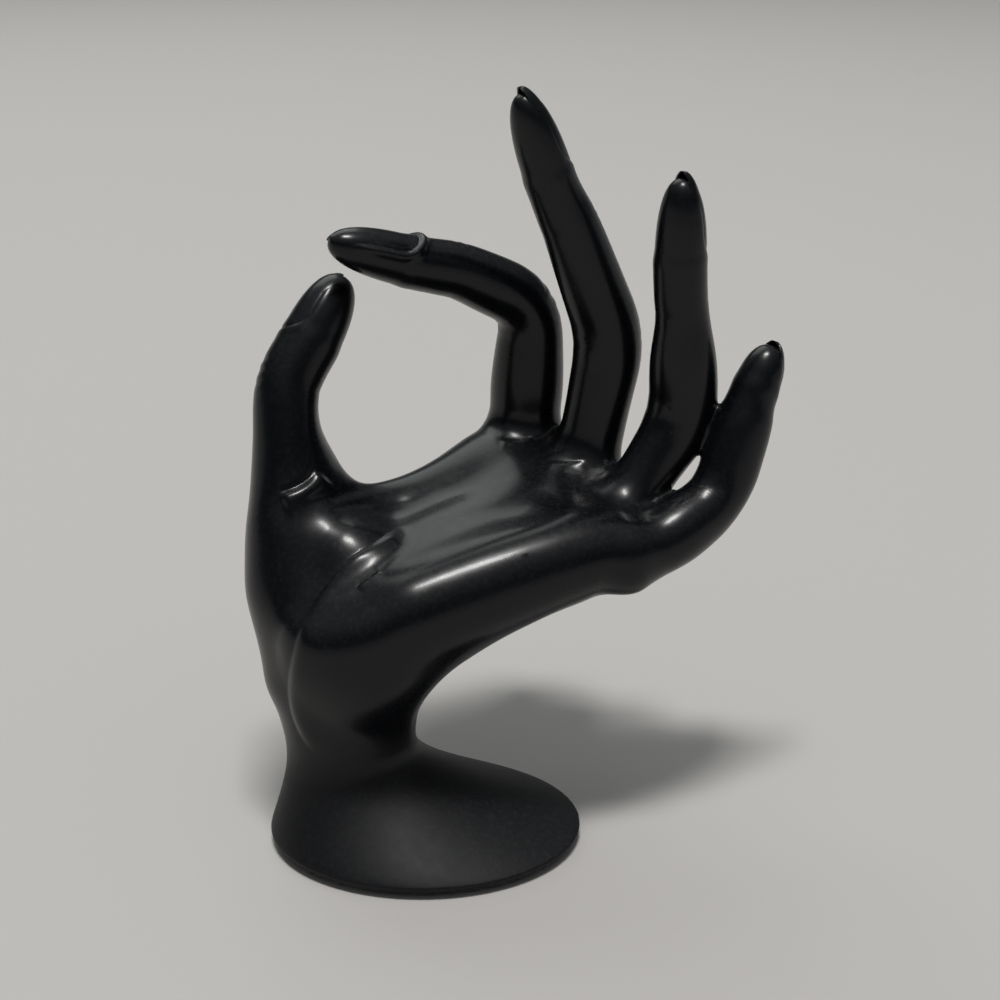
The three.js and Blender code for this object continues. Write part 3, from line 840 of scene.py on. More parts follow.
@dataclass
class Skinner:
    """Turns a field into a closed mesh of triangles, finer where detail is wanted."""

    cell: float = 1.1
    block: int = 4
    block_reach: float = 1.6
    probe: float = 0.03
    largest_move: float = 0.5
    least_steep: float = 0.05
    just_inside: float = -0.001
    split_over: float = 1.35
    split_rounds: int = 3

    def slope(self, shape: Field, points: Array) -> tuple[Array, Array]:
        """Return the field's values and gradients at points, from four probes round each.

        Args:
            shape: The field, which gives distances for points.
            points: Points in millimetres, one in each row.

        Returns:
            The values and the gradients.
        """
        value = np.zeros(len(points))
        gradient = np.zeros_like(points)
        for sign in np.array([(1, -1, -1), (-1, -1, 1), (-1, 1, -1), (1, 1, 1)]):
            found = shape(points + self.probe * sign)
            value += found / 4.0
            gradient += found[:, None] * sign / (4.0 * self.probe)
        return value, gradient

    def settle(self, shape: Field, points: Array, passes: int = 2) -> Array:
        """Return points moved along the field's slope onto its surface.

        Args:
            shape: The field, which gives distances for points.
            points: Points in millimetres, one in each row.
            passes: How many times the points are moved.

        Returns:
            The moved points.
        """
        for _ in range(passes):
            value, gradient = self.slope(shape, points)
            steep = np.maximum(np.einsum("ij,ij->i", gradient, gradient), self.least_steep)
            move = -(value / steep)[:, None] * gradient
            length = np.linalg.norm(move, axis=1, keepdims=True)
            points = points + move * np.minimum(1.0, self.largest_move / np.maximum(length, TINY))
        return points

    def _sample(self, shape: Field, low: Array, high: Array) -> Array:
        """Return the field on a grid; blocks far from the surface take the value at their middle.

        Args:
            shape: The field, which gives distances for points.
            low: Lowest corner of the grid.
            high: Highest corner of the grid.

        Returns:
            The field's values at the grid's corners.
        """
        span = self.block * self.cell
        blocks = np.ceil((high - low) / span).astype(int)
        middles = np.indices(blocks).reshape(3, -1).T
        rough = shape(low + span * (middles + 0.5) - self.cell / 2.0).reshape(blocks)
        values = rough
        for axis in range(3):
            values = np.repeat(values, self.block, axis=axis)
        near = np.argwhere(np.abs(values) < self.block_reach * span)
        values[tuple(near.T)] = shape(low + self.cell * near)
        return values

    @staticmethod
    def _masks(values: Array) -> Array:
        """Return which corners of each cell lie inside, as bits.

        Args:
            values: The field's values at the corners of a grid.

        Returns:
            A number for each cell.
        """
        inside = values < 0.0
        shape = [count - 1 for count in values.shape]
        masks = np.zeros(shape, dtype=np.uint8)
        for bit, (i, j, k) in enumerate(CORNERS):
            part = inside[i : i + shape[0], j : j + shape[1], k : k + shape[2]]
            masks |= part.astype(np.uint8) << bit
        return masks

    def _fill_shared_cells(self, values: Array) -> None:
        """Fill cells that two sheets would share, so that the surface never meets itself.

        Args:
            values: The field's values at the corners of a grid, which are changed.
        """
        while True:
            shared = np.argwhere(~ONE_SHEET[self._masks(values)])
            if not len(shared):
                return
            for cell in shared:
                corners = cell + CORNERS
                outside = [tuple(corner) for corner in corners if values[tuple(corner)] >= 0.0]
                if outside:
                    values[min(outside, key=lambda corner: values[corner])] = self.just_inside

    def _crossings(self, values: Array, cells: Array) -> Array:
        """Return the mean place, in cells, where the surface crosses each cell's edges.

        Args:
            values: The field's values at the corners of a grid.
            cells: Numbers of the cells that the surface runs through.

        Returns:
            A place for each cell.
        """
        total = np.zeros((len(cells), 3))
        count = np.zeros((len(cells), 1))
        for a, b in CELL_EDGES:
            near = values[tuple((cells + CORNERS[a]).T)]
            far = values[tuple((cells + CORNERS[b]).T)]
            crossed = (near < 0.0) != (far < 0.0)
            share = np.where(crossed, near / np.where(crossed, near - far, 1.0), 0.0)
            place = CORNERS[a] + share[:, None] * (CORNERS[b] - CORNERS[a])
            total += place * crossed[:, None]
            count += crossed[:, None]
        return cells + total / count

    @staticmethod
    def _quads(values: Array, corner_of: Array) -> Array:
        """Return a quad for each grid edge that the surface crosses.

        Args:
            values: The field's values at the corners of a grid.
            corner_of: Number of the mesh corner in each cell.

        Returns:
            Corner numbers of the quads.
        """
        inside = values < 0.0
        quads = []
        for axis in range(3):
            u, v = (axis + 1) % 3, (axis + 2) % 3
            start = [slice(1, -1)] * 3
            start[axis] = slice(0, -1)
            end = list(start)
            end[axis] = slice(1, None)
            edges = np.argwhere(inside[tuple(start)] != inside[tuple(end)])
            edges[:, [u, v]] += 1
            ring = []
            for du, dv in ((1, 1), (0, 1), (0, 0), (1, 0)):
                cell = edges.copy()
                cell[:, u] -= du
                cell[:, v] -= dv
                ring.append(corner_of[tuple(cell.T)])
            ring = np.stack(ring, axis=1)
            outward = inside[tuple(edges.T)]
            ring[~outward] = ring[~outward][:, ::-1]
            quads.append(ring)
        return np.concatenate(quads)

    def skin(self, shape: Field, low: Array, high: Array) -> tuple[Array, Array]:
        """Mesh a field.

        Args:
            shape: The field, below zero inside.
            low: Lowest corner of a box round the surface.
            high: Highest corner of that box.

        Returns:
            The corners of the mesh and its triangles.
        """
        values = self._sample(shape, low, high)
        self._fill_shared_cells(values)
        masks = self._masks(values)
        crossed = (masks > 0) & (masks < ALL_INSIDE)
        corner_of = np.full(masks.shape, -1)
        corner_of[crossed] = np.arange(np.count_nonzero(crossed))
        points = low + self.cell * self._crossings(values, np.argwhere(crossed))
        points = self.settle(shape, points)
        a, b, c, d = self._quads(values, corner_of).T
        across = np.linalg.norm(points[a] - points[c], axis=1)
        along = np.linalg.norm(points[b] - points[d], axis=1)
        first = np.where((across < along)[:, None], np.stack([a, b, c], 1), np.stack([a, b, d], 1))
        second = np.where((across < along)[:, None], np.stack([a, c, d], 1), np.stack([b, c, d], 1))
        return points, np.concatenate([first, second])

    def refine(self, shape: Field, points: Array, faces: Array, wanted: Field) -> tuple[Array, Array]:
        """Split long edges where detail is wanted.

        Args:
            shape: The field that new corners settle onto.
            points: Corners of the mesh.
            faces: Its triangles.
            wanted: Gives the edge length wanted at a point.

        Returns:
            The corners and triangles of the finer mesh.
        """
        for _ in range(self.split_rounds):
            sides = np.sort(np.stack([faces, np.roll(faces, -1, axis=1)], axis=2), axis=2)
            edges, which = np.unique(sides.reshape(-1, 2), axis=0, return_inverse=True)
            which = which.reshape(-1, 3)
            ends = points[edges]
            middles = ends.mean(axis=1)
            lengths = np.linalg.norm(ends[:, 0] - ends[:, 1], axis=1)
            split = lengths > self.split_over * wanted(middles)
            if not split.any():
                break
            corner_of = np.full(len(edges), -1)
            corner_of[split] = len(points) + np.arange(np.count_nonzero(split))
            points = np.vstack([points, self.settle(shape, middles[split])])
            faces = self._split_faces(faces, corner_of[which])
        return points, faces

    @staticmethod
    def _split_faces(faces: Array, middles: Array) -> Array:
        """Return triangles divided at the middles of their split sides, -1 marking a whole side.

        Args:
            faces: Corner numbers of the triangles.
            middles: Number of the corner in the middle of each side.

        Returns:
            Corner numbers of the new triangles.
        """
        count = np.count_nonzero(middles >= 0, axis=1)
        parts = [faces[count == 0]]
        for turn in range(3):
            a, b, c = np.roll(faces, -turn, axis=1).T
            ab, bc, ca = np.roll(middles, -turn, axis=1).T
            one = (count == 1) & (ab >= 0)
            parts += [np.stack([a, ab, c], 1)[one], np.stack([ab, b, c], 1)[one]]
            two = (count == 2) & (ca < 0)
            parts += [
                np.stack([ab, b, bc], 1)[two],
                np.stack([a, ab, bc], 1)[two],
                np.stack([a, bc, c], 1)[two],
            ]
            three = count == 3
            parts.append(np.stack([a, ab, ca], 1)[three])
        parts.append(middles[count == 3])
        return np.concatenate(parts)


@dataclass(frozen=True)
class PhotoCamera:
    """The camera that the object is seen by, level with the photograph's."""

    target: Triple = (17.4, 3.5, 82.3)
    distance: float = 372.9
    elevation: float = 21.5
    focal_px: float = 1700.0
    frame_px: float = 1000.0
    sensor: float = 36.0
    clip: Pair = (0.01, 50.0)

    @property
    def backward(self) -> Array:
        """Direction from the target to the camera."""
        return vector(0.0, -cos(self.elevation), sin(self.elevation))

    @property
    def place(self) -> Array:
        """Where the camera stands."""
        return vector(*self.target) + self.distance * self.backward

    def ray(self, pixel: Sequence[float]) -> Array:
        """Return the direction in which the camera sees a pixel.

        Args:
            pixel: Place in the picture, right and down from its corner.

        Returns:
            A direction of length one.
        """
        right = vector(1.0, 0.0, 0.0)
        up = vector(0.0, sin(self.elevation), cos(self.elevation))
        x = (pixel[0] - self.frame_px / 2.0) / self.focal_px
        y = (self.frame_px / 2.0 - pixel[1]) / self.focal_px
        return unit(x * right + y * up - self.backward)

    def build(self) -> None:
        """Make the camera and give it to the scene."""
        data = bpy.data.cameras.new("camera")
        data.sensor_width = self.sensor
        data.lens = self.sensor * self.focal_px / self.frame_px
        data.clip_start, data.clip_end = self.clip
        camera = bpy.data.objects.new("camera", data)
        camera.location = Vector(self.place * MM)
        camera.rotation_euler = Vector(self.backward).to_track_quat("Z", "Y").to_euler()
        bpy.context.scene.collection.objects.link(camera)
        bpy.context.scene.camera = camera


@dataclass(frozen=True)
class Crease:
    """A fold line round part of a digit, near one of its joints."""

    joint: Joint
    shift: float
    depth: float
    width: float
    side: Side = Side.PALM
    span: float = 70.0
    bow: float = 0.8


@dataclass(frozen=True)
class Fold:
    """A fold in the flesh along a line that the camera sees, through a few pixels of it.

    The lip is flesh raised on one side: the right-hand side of the line where it is above zero.
    """

    name: str
    pixels: tuple[Pair, ...]
    depth: float
    width: float
    lip: float = 0.0
    lip_width: float = 1.5


FINGER_CREASES = (
    Crease(Joint.MIDDLE, -0.6, 0.06, 1.6, bow=0.9),
    Crease(Joint.END, 0.0, 0.05, 1.4, bow=0.8),
    Crease(Joint.MIDDLE, -2.4, 0.09, 0.6, Side.BACK, span=46.0, bow=1.4),
    Crease(Joint.MIDDLE, 0.0, 0.13, 0.65, Side.BACK, span=52.0, bow=0.3),
    Crease(Joint.MIDDLE, 2.4, 0.09, 0.6, Side.BACK, span=46.0, bow=-1.2),
    Crease(Joint.END, -1.1, 0.07, 0.5, Side.BACK, span=44.0, bow=0.9),
    Crease(Joint.END, 1.1, 0.07, 0.5, Side.BACK, span=44.0, bow=-0.6),
)

THUMB_CREASES = (
    Crease(Joint.END, -0.6, 0.06, 1.5, bow=0.9),
    Crease(Joint.END, -2.0, 0.09, 0.6, Side.BACK, span=46.0, bow=1.2),
    Crease(Joint.END, 0.2, 0.12, 0.65, Side.BACK, span=50.0, bow=0.3),
    Crease(Joint.END, 2.3, 0.09, 0.6, Side.BACK, span=46.0, bow=-1.1),
)

# Pixels that the folds run through, right and down from the picture's corner
LIFE_LINE = ((397, 526), (372, 543), (349, 557), (329, 579), (302, 619))
HEEL_LINE = ((316, 598), (302, 619), (291, 656), (287, 689), (292, 718), (306, 746), (325, 761))
PALM_LINE = ((380, 569), (368, 577), (355, 587))
WEB_LINE = ((300, 507), (330, 497), (362, 487))
LOWER_WEB_LINE = ((317, 511), (367, 503), (418, 500))
THUMB_LINE = ((277, 493), (296, 486), (309, 477), (314, 466))
INDEX_LINE = ((500, 438), (517, 439), (534, 436))
MIDDLE_LINE = ((546, 459), (566, 461), (588, 458))
EDGE_LINE = ((525, 553), (529, 564), (533, 578))

FOLDS = (
    Fold("life_fold", LIFE_LINE, depth=0.03, width=0.9, lip=-0.55, lip_width=2.2),
    Fold("heel_fold", HEEL_LINE, depth=0.04, width=1.4, lip=-0.5, lip_width=3.2),
    Fold("palm_fold", PALM_LINE, depth=0.12, width=0.8, lip=-0.25, lip_width=1.2),
    Fold("web_fold", WEB_LINE, depth=0.5, width=1.6),
    Fold("lower_web_fold", LOWER_WEB_LINE, depth=0.15, width=1.0),
    Fold("thumb_fold", THUMB_LINE, depth=0.25, width=0.8, lip=1.1, lip_width=2.4),
    Fold("index_fold", INDEX_LINE, depth=0.1, width=0.9, lip=0.2, lip_width=1.5),
    Fold("middle_fold", MIDDLE_LINE, depth=0.1, width=0.9, lip=0.2, lip_width=1.5),
    Fold("edge_fold", EDGE_LINE, depth=0.12, width=0.6),
)


@dataclass
class Fingernail:
    """A fingernail: an arched plate with a fold of flesh round its root and sides, and a free edge."""

    digit: Digit
    whole: Digit
    length: float
    fold_height: float
    groove_depth: float
    root_ease: float = 5.5
    half_angle: float = 64.0
    free_angle: float = 86.0
    free_from: float = 0.45
    free_by: float = 0.85
    proud: float = 0.07
    thickness: float = 0.9
    tuck: float = 0.6
    root_tuck: float = 0.9
    end_share: float = 0.985
    groove_width: float = 0.35
    fold_width: float = 1.1
    fold_gap: float = 1.15
    rows: int = 44
    columns: int = 28
    row_margin: float = 0.02
    root_power: float = 2.2
    edge_power: int = 10
    press_reach: float = 1.5
    least_radius: float = 0.1
    least_share: float = 0.15
    settle_passes: int = 14

    @property
    def start(self) -> float:
        """Where the plate's root lies, along the fingertip from its pulp."""
        return self.digit.tip_length - self.length

    def free_share(self, along: Array) -> Array:
        """Return how far the plate has come free of the flesh."""
        share = along / self.digit.tip_length
        return ease((share - self.free_from) / (self.free_by - self.free_from))

    def half_spread(self, along: Array) -> Array:
        """Return the angle from the plate's middle to its side, rounded at the root.

        Args:
            along: Places along the fingertip.

        Returns:
            An angle for each place.
        """
        root = np.clip((self.start + self.root_ease - along) / self.root_ease, 0.0, 1.0)
        widest = self.half_angle + (self.free_angle - self.half_angle) * self.free_share(along)
        return np.radians(widest) * np.sqrt(np.maximum(1.0 - root**self.root_power, 0.0))

    def outline_distance(self, points: Array) -> tuple[Array, Array]:
        """Return how far points of the flesh lie outside the plate's outline, and how far along it.

        Args:
            points: Points in millimetres, one in each row.

        Returns:
            The distances, and the places along the fingertip.
        """
        offset = points - self.digit.pulp
        along = offset @ self.digit.tipward
        across = offset @ self.digit.chain.axis
        out = offset @ self.digit.backward
        angle = np.abs(np.arctan2(across, out))
        radius = np.hypot(across, out)
        spread = math.radians(self.half_angle)
        beside = (angle - spread) * radius
        behind = self.start + self.root_ease - along
        places = (np.maximum(behind, 0.0), angle * radius)
        rounded = oval_distance(places, (self.root_ease, spread * radius))
        return np.where(behind > 0.0, rounded, beside), along

    def press(self, points: Array) -> Array:
        """Return how far the flesh rises round the plate, and sinks at its edge.

        Args:
            points: Points in millimetres, one in each row.

        Returns:
            A rise for each point, below zero where it sinks.
        """
        outside, along = self.outline_distance(points)
        fade = 1.0 - self.free_share(along)
        fold = self.fold_height * bell(outside - self.fold_gap, self.fold_width)
        groove = self.groove_depth * bell(outside, self.groove_width)
        reach = self.press_reach * self.digit.tip_length
        near = np.linalg.norm(points - self.digit.pulp, axis=1) < reach
        return np.where(near, (fold - groove) * fade, 0.0)

    def _place(self, along: Array, angle: Array, radius: Array) -> Array:
        """Return the points at places along, round and out from the fingertip's middle line.

        Args:
            along: Places along the middle line.
            angle: Angles round it.
            radius: Distances from it.

        Returns:
            The points.
        """
        parts = (along, np.sin(angle) * radius, np.cos(angle) * radius)
        axes = (self.digit.tipward, self.digit.chain.axis, self.digit.backward)
        return self.digit.pulp + sum(part[:, None] * axis for part, axis in zip(parts, axes))

    def plate(self) -> tuple[Array, list[tuple[int, ...]]]:
        """Return the closed mesh of the plate: its corners and faces.

        Returns:
            The corners and the faces.
        """
        end = self.end_share * self.digit.tip_length
        step = (1.0 - np.cos(np.linspace(self.row_margin, math.pi - self.row_margin, self.rows))) / 2.0
        side = np.sin(np.linspace(-math.pi / 2.0, math.pi / 2.0, self.columns))
        grids = np.meshgrid(self.start + (end - self.start) * step, side, indexing="ij")
        x, v = (grid.ravel() for grid in grids)
        angle = v * self.half_spread(x)
        radius = np.full(len(x), self.digit.tip_radius)
        for _ in range(self.settle_passes):
            places = self._place(x, angle, radius)
            gap = np.minimum(self.whole.distance(places), self.digit.distance(places))
            radius = np.maximum(radius - gap, self.least_radius)
        edge = np.abs(v) ** self.edge_power * (1.0 - self.free_share(x))
        root = np.clip((self.start + self.root_tuck - x) / self.root_tuck, 0.0, 1.0) ** 2
        top = radius + self.proud - self.tuck * np.maximum(edge, root)
        under = np.maximum(top - self.thickness, self.least_share * top)
        points = np.concatenate([self._place(x, angle, layer) for layer in (top, under)])
        return points, self._faces()

    def _faces(self) -> list[tuple[int, ...]]:
        """Return the plate's quads: its top, its underside and the band round its edge.

        Returns:
            Corner numbers of the faces.
        """
        rows, columns = self.rows, self.columns
        size = rows * columns
        faces: list[tuple[int, ...]] = []
        for i in range(rows - 1):
            for j in range(columns - 1):
                a = i * columns + j
                top = (a, a + columns, a + columns + 1, a + 1)
                faces.append(top)
                faces.append(tuple(size + corner for corner in reversed(top)))
        loop = list(range(columns))
        loop += [i * columns + columns - 1 for i in range(1, rows)]
        loop += [(rows - 1) * columns + j for j in range(columns - 2, -1, -1)]
        loop += [i * columns for i in range(rows - 2, 0, -1)]
        for a, b in zip(loop, loop[1:] + loop[:1]):
            faces.append((a, b, size + b, size + a))
        return faces


@dataclass(frozen=True)
class NailSizes:
    """Length of a fingernail, how high the flesh stands round it, and how deep the groove between is."""

    length: float
    fold_height: float
    groove_depth: float


NAILS = {
    "thumb": NailSizes(18.0, 0.12, 0.12),
    "index": NailSizes(21.0, 0.85, 0.25),
    "middle": NailSizes(20.0, 0.1, 0.12),
    "ring": NailSizes(19.0, 0.1, 0.12),
    "little": NailSizes(13.0, 0.1, 0.12),
}

# Degrees past which a mesh's own normal is trusted over the field's
NORMAL_DOUBT = 12.0


def new_piece(
    name: str, points: Array, faces: Iterable[Sequence[int]], normals: Optional[Array] = None
) -> bpy.types.Object:
    """Make a smooth mesh object.

    Args:
        name: Name of the piece.
        points: Corners, in millimetres.
        faces: Corner numbers of each face.
        normals: Directions that the surface faces at the corners, where they are known.

    Returns:
        The object, linked to the scene.
    """
    mesh = bpy.data.meshes.new(name)
    mesh.from_pydata((points * MM).tolist(), [], [tuple(int(i) for i in face) for face in faces])
    mesh.validate()
    mesh.shade_smooth()
    if normals is not None and len(mesh.vertices) == len(points):
        rough = np.zeros(3 * len(points))
        mesh.vertex_normals.foreach_get("vector", rough)
        rough = rough.reshape(-1, 3)
        agree = np.einsum("ij,ij->i", rough, normals) > cos(NORMAL_DOUBT)
        mesh.normals_split_custom_set_from_vertices(np.where(agree[:, None], normals, rough).tolist())
    piece = bpy.data.objects.new(name, mesh)
    bpy.context.scene.collection.objects.link(piece)
    return piece


@dataclass
class HandCasting:
    """The casting: hand, wrist and foot, with its creases, folds and fingernails."""

    camera: PhotoCamera
    forms: HandForms = field(default_factory=HandForms)
    skinner: Skinner = field(default_factory=Skinner)
    coarse: float = 2.0
    fine_edge: float = 0.38
    fold_edge: float = 0.5
    tip_edge: float = 0.7
    rim_edge: float = 0.42
    rim_reach: float = 2.0
    tip_reach: float = 1.3
    ring_middle: float = 0.5
    ring_half_width: float = 1.6
    ring_end: float = 0.8
    fold_reach: float = 3.0
    lip_reach: float = 7.0
    crease_reach: float = 16.0
    crease_widths: float = 3.0
    crease_least: float = 0.02
    crease_hold: float = 0.45
    digit_margin: float = 2.0
    swell_share: float = 0.3
    swell_place: float = 2.4
    swell_width: float = 1.3
    fold_steps: int = 12
    fold_fade: float = 0.2
    fold_jump: float = 4.0
    nail_bluntness: float = 2.0

    def build(self) -> list[bpy.types.Object]:
        """Return the casting and its fingernails.

        Returns:
            The casting first, then the fingernails.
        """
        shape = self.forms.distance
        points, faces = self.skinner.skin(shape, *self.forms.box())
        LOG.info("casting: %d corners before refining", len(points))
        self.nails = [self._nail(name, sizes) for name, sizes in NAILS.items()]
        self.lines = self._fold_lines(points, faces)
        points, faces = self.skinner.refine(shape, points, faces, self._wanted_edge)
        _, gradient = self.skinner.slope(shape, points)
        facing = unit(gradient)
        rise, lean = self.skinner.slope(self._relief, points)
        lean -= np.einsum("ij,ij->i", lean, facing)[:, None] * facing
        points = points + rise[:, None] * facing
        LOG.info("casting: %d corners, %d faces", len(points), len(faces))
        casting = new_piece("hand", points, faces, unit(facing - lean))
        plates = []
        for nail in self.nails:
            plates.append(new_piece(f"{nail.digit.name}_nail", *nail.plate()))
        return [casting, *plates]

    def _nail(self, name: str, sizes: NailSizes) -> Fingernail:
        """Return a digit's fingernail, laid on the flesh and reaching to the end of the free edge.

        Args:
            name: Name of the digit.
            sizes: Sizes of the fingernail.

        Returns:
            The fingernail.
        """
        digit = self.forms.digits[name]
        whole = replace(digit, free_edge=0.0, bluntness=self.nail_bluntness)
        return Fingernail(digit, whole, sizes.length, sizes.fold_height, sizes.groove_depth)

    def _fold_lines(self, points: Array, faces: Array) -> list[tuple[Fold, Array]]:
        """Return each fold with the line on the flesh that the camera sees it at.

        Args:
            points: Corners of the base form's mesh.
            faces: Its triangles.

        Returns:
            Pairs of a fold and the points along its line.
        """
        tree = BVHTree.FromPolygons(points.tolist(), faces.tolist())
        origin = Vector(self.camera.place)
        lines = []
        for fold in FOLDS:
            hits: list[Array] = []
            for pixel in self._smooth_pixels(fold):
                hit = tree.ray_cast(origin, Vector(self.camera.ray(pixel)))[0]
                if hit is None or hits and np.linalg.norm(hit - Vector(hits[-1])) > self.fold_jump:
                    break
                hits.append(np.array(hit))
            lines.append((fold, np.array(hits)))
            LOG.info("fold %s: %d points", fold.name, len(hits))
        return lines

    def _smooth_pixels(self, fold: Fold) -> Array:
        """Return points along a smooth curve through a fold's pixels.

        Args:
            fold: The fold.

        Returns:
            Places in the picture.
        """
        knots = np.array(fold.pixels, dtype=float)
        padded = np.vstack([2.0 * knots[0] - knots[1], knots, 2.0 * knots[-1] - knots[-2]])
        t = np.linspace(0.0, 1.0, self.fold_steps, endpoint=False)[:, None]
        curve = []
        for a, b, c, d in zip(padded, padded[1:], padded[2:], padded[3:]):
            bent = (2.0 * a - 5.0 * b + 4.0 * c - d) * t**2 + (3.0 * b - a - 3.0 * c + d) * t**3
            curve.extend(0.5 * (2.0 * b + (c - a) * t + bent))
        return np.vstack([curve, knots[-1]])

    def _line_distance(self, points: Array, line: Array) -> Array:
        """Return the distance of points to a line, above zero on the right of it as the camera sees it.

        Args:
            points: Points in millimetres, one in each row.
            line: Points along the line.

        Returns:
            A distance for each point.
        """
        signed = np.full(len(points), np.inf)
        for start, end in zip(line, line[1:]):
            run = end - start
            away = points - start
            share = np.clip(away @ run / max(run @ run, TINY), 0.0, 1.0)
            offset = away - share[:, None] * run
            gap = np.linalg.norm(offset, axis=1)
            right = np.cross(run, self.camera.backward)
            signed = np.where(gap < np.abs(signed), gap * np.sign(offset @ right), signed)
        return signed

    def _ends(self, points: Array, line: Array) -> Array:
        """Return how much of a fold shows at points: it runs out softly at both ends of its line.

        Args:
            points: Points in millimetres, one in each row.
            line: Points along the line.

        Returns:
            Shares from 0 to 1.
        """
        fade = self.fold_fade * np.linalg.norm(np.diff(line, axis=0), axis=1).sum()
        start = (points - line[0]) @ unit(line[2] - line[0])
        end = (line[-1] - points) @ unit(line[-1] - line[-3])
        return ease(start / fade) * ease(end / fade)

    def _wanted_edge(self, points: Array) -> Array:
        """Return the edge length that the detail at points needs.

        Args:
            points: Points in millimetres, one in each row.

        Returns:
            A length for each point.
        """
        wanted = np.full(len(points), self.skinner.cell * self.coarse)
        wanted[self.forms.base.near_rim(points, self.rim_reach)] = self.rim_edge
        for fold, line in self.lines:
            reach = self.fold_reach * max(fold.width, fold.lip_width if fold.lip else 0.0)
            near = self._inside(points, line, reach)
            gap = np.abs(self._line_distance(points[near], line))
            wanted[near[gap < reach]] = self.fold_edge
        for nail in self.nails:
            outside, along = nail.outline_distance(points)
            tip = nail.digit.tip_length
            near = np.linalg.norm(points - nail.digit.pulp, axis=1) < self.tip_reach * tip
            wanted = np.where(near & (along > 0.0), np.minimum(wanted, self.tip_edge), wanted)
            ring = np.abs(outside - self.ring_middle) < self.ring_half_width
            ring &= near & (along < self.ring_end * tip)
            wanted = np.where(ring, np.minimum(wanted, self.fine_edge), wanted)
        for digit, creases in self._creased_digits():
            for crease, near, offset, window in self._crease_places(digit, creases, points):
                beside = np.abs(offset) < self.crease_widths * crease.width
                close = near[beside & (window > self.crease_least)]
                wanted[close] = np.minimum(wanted[close], self.fold_edge)
        return wanted

    @staticmethod
    def _inside(points: Array, line: Array, margin: float) -> Array:
        """Return the numbers of the points inside a box round a line."""
        low, high = line.min(axis=0) - margin, line.max(axis=0) + margin
        return np.flatnonzero(np.all((points > low) & (points < high), axis=1))

    def _creased_digits(self) -> Iterable[tuple[Digit, tuple[Crease, ...]]]:
        """Yield each digit with its creases."""
        for name, digit in self.forms.digits.items():
            yield digit, THUMB_CREASES if name == "thumb" else FINGER_CREASES

    def _crease_places(
        self, digit: Digit, creases: tuple[Crease, ...], points: Array
    ) -> Iterable[tuple[Crease, Array, Array, Array]]:
        """Yield each crease of a digit with the points near it, their distances, and its strength there.

        Args:
            digit: The digit.
            creases: Its creases.
            points: Points in millimetres, one in each row.

        Yields:
            The crease, numbers of the points, distances, and strengths from 0 to 1.
        """
        for joint in dict.fromkeys(crease.joint for crease in creases):
            station = digit.joint_stations[joint.value]
            middle = digit.line[np.argmin(np.abs(digit.stations - station))][None]
            near = self._inside(points, middle, self.crease_reach)
            places = digit.places(points[near])
            on_digit = places.distance < digit.radius(places.station) + self.digit_margin
            for crease in (crease for crease in creases if crease.joint is joint):
                turned = np.angle(np.exp(1j * (places.angle - crease.side.value)))
                bow = crease.bow * turned**2
                share = np.abs(turned) / math.radians(crease.span)
                fade = 1.0 - ease((share - self.crease_hold) / (1.0 - self.crease_hold))
                yield crease, near, places.station - station - crease.shift - bow, fade * on_digit

    def _relief(self, points: Array) -> Array:
        """Return how far each point moves out of the base form.

        Args:
            points: Points in millimetres, one in each row.

        Returns:
            A rise for each point, below zero where it sinks.
        """
        rise = np.zeros(len(points))
        for fold, line in self.lines:
            near = self._inside(points, line, self.lip_reach * fold.lip_width)
            gap = self._line_distance(points[near], line)
            beside = np.maximum(gap * np.sign(fold.lip), 0.0) / fold.lip_width
            lip = np.abs(fold.lip) * (beside * np.exp(1.0 - beside)) ** 2
            rise[near] += self._ends(points[near], line) * (lip - fold.depth * bell(gap, fold.width))
        for digit, creases in self._creased_digits():
            for crease, near, offset, window in self._crease_places(digit, creases, points):
                beside = np.abs(offset) - self.swell_place * crease.width
                swell = self.swell_share * bell(beside, self.swell_width * crease.width)
                rise[near] += window * crease.depth * (swell - bell(offset, crease.width))
        for nail in self.nails:
            rise += nail.press(points)
        return rise


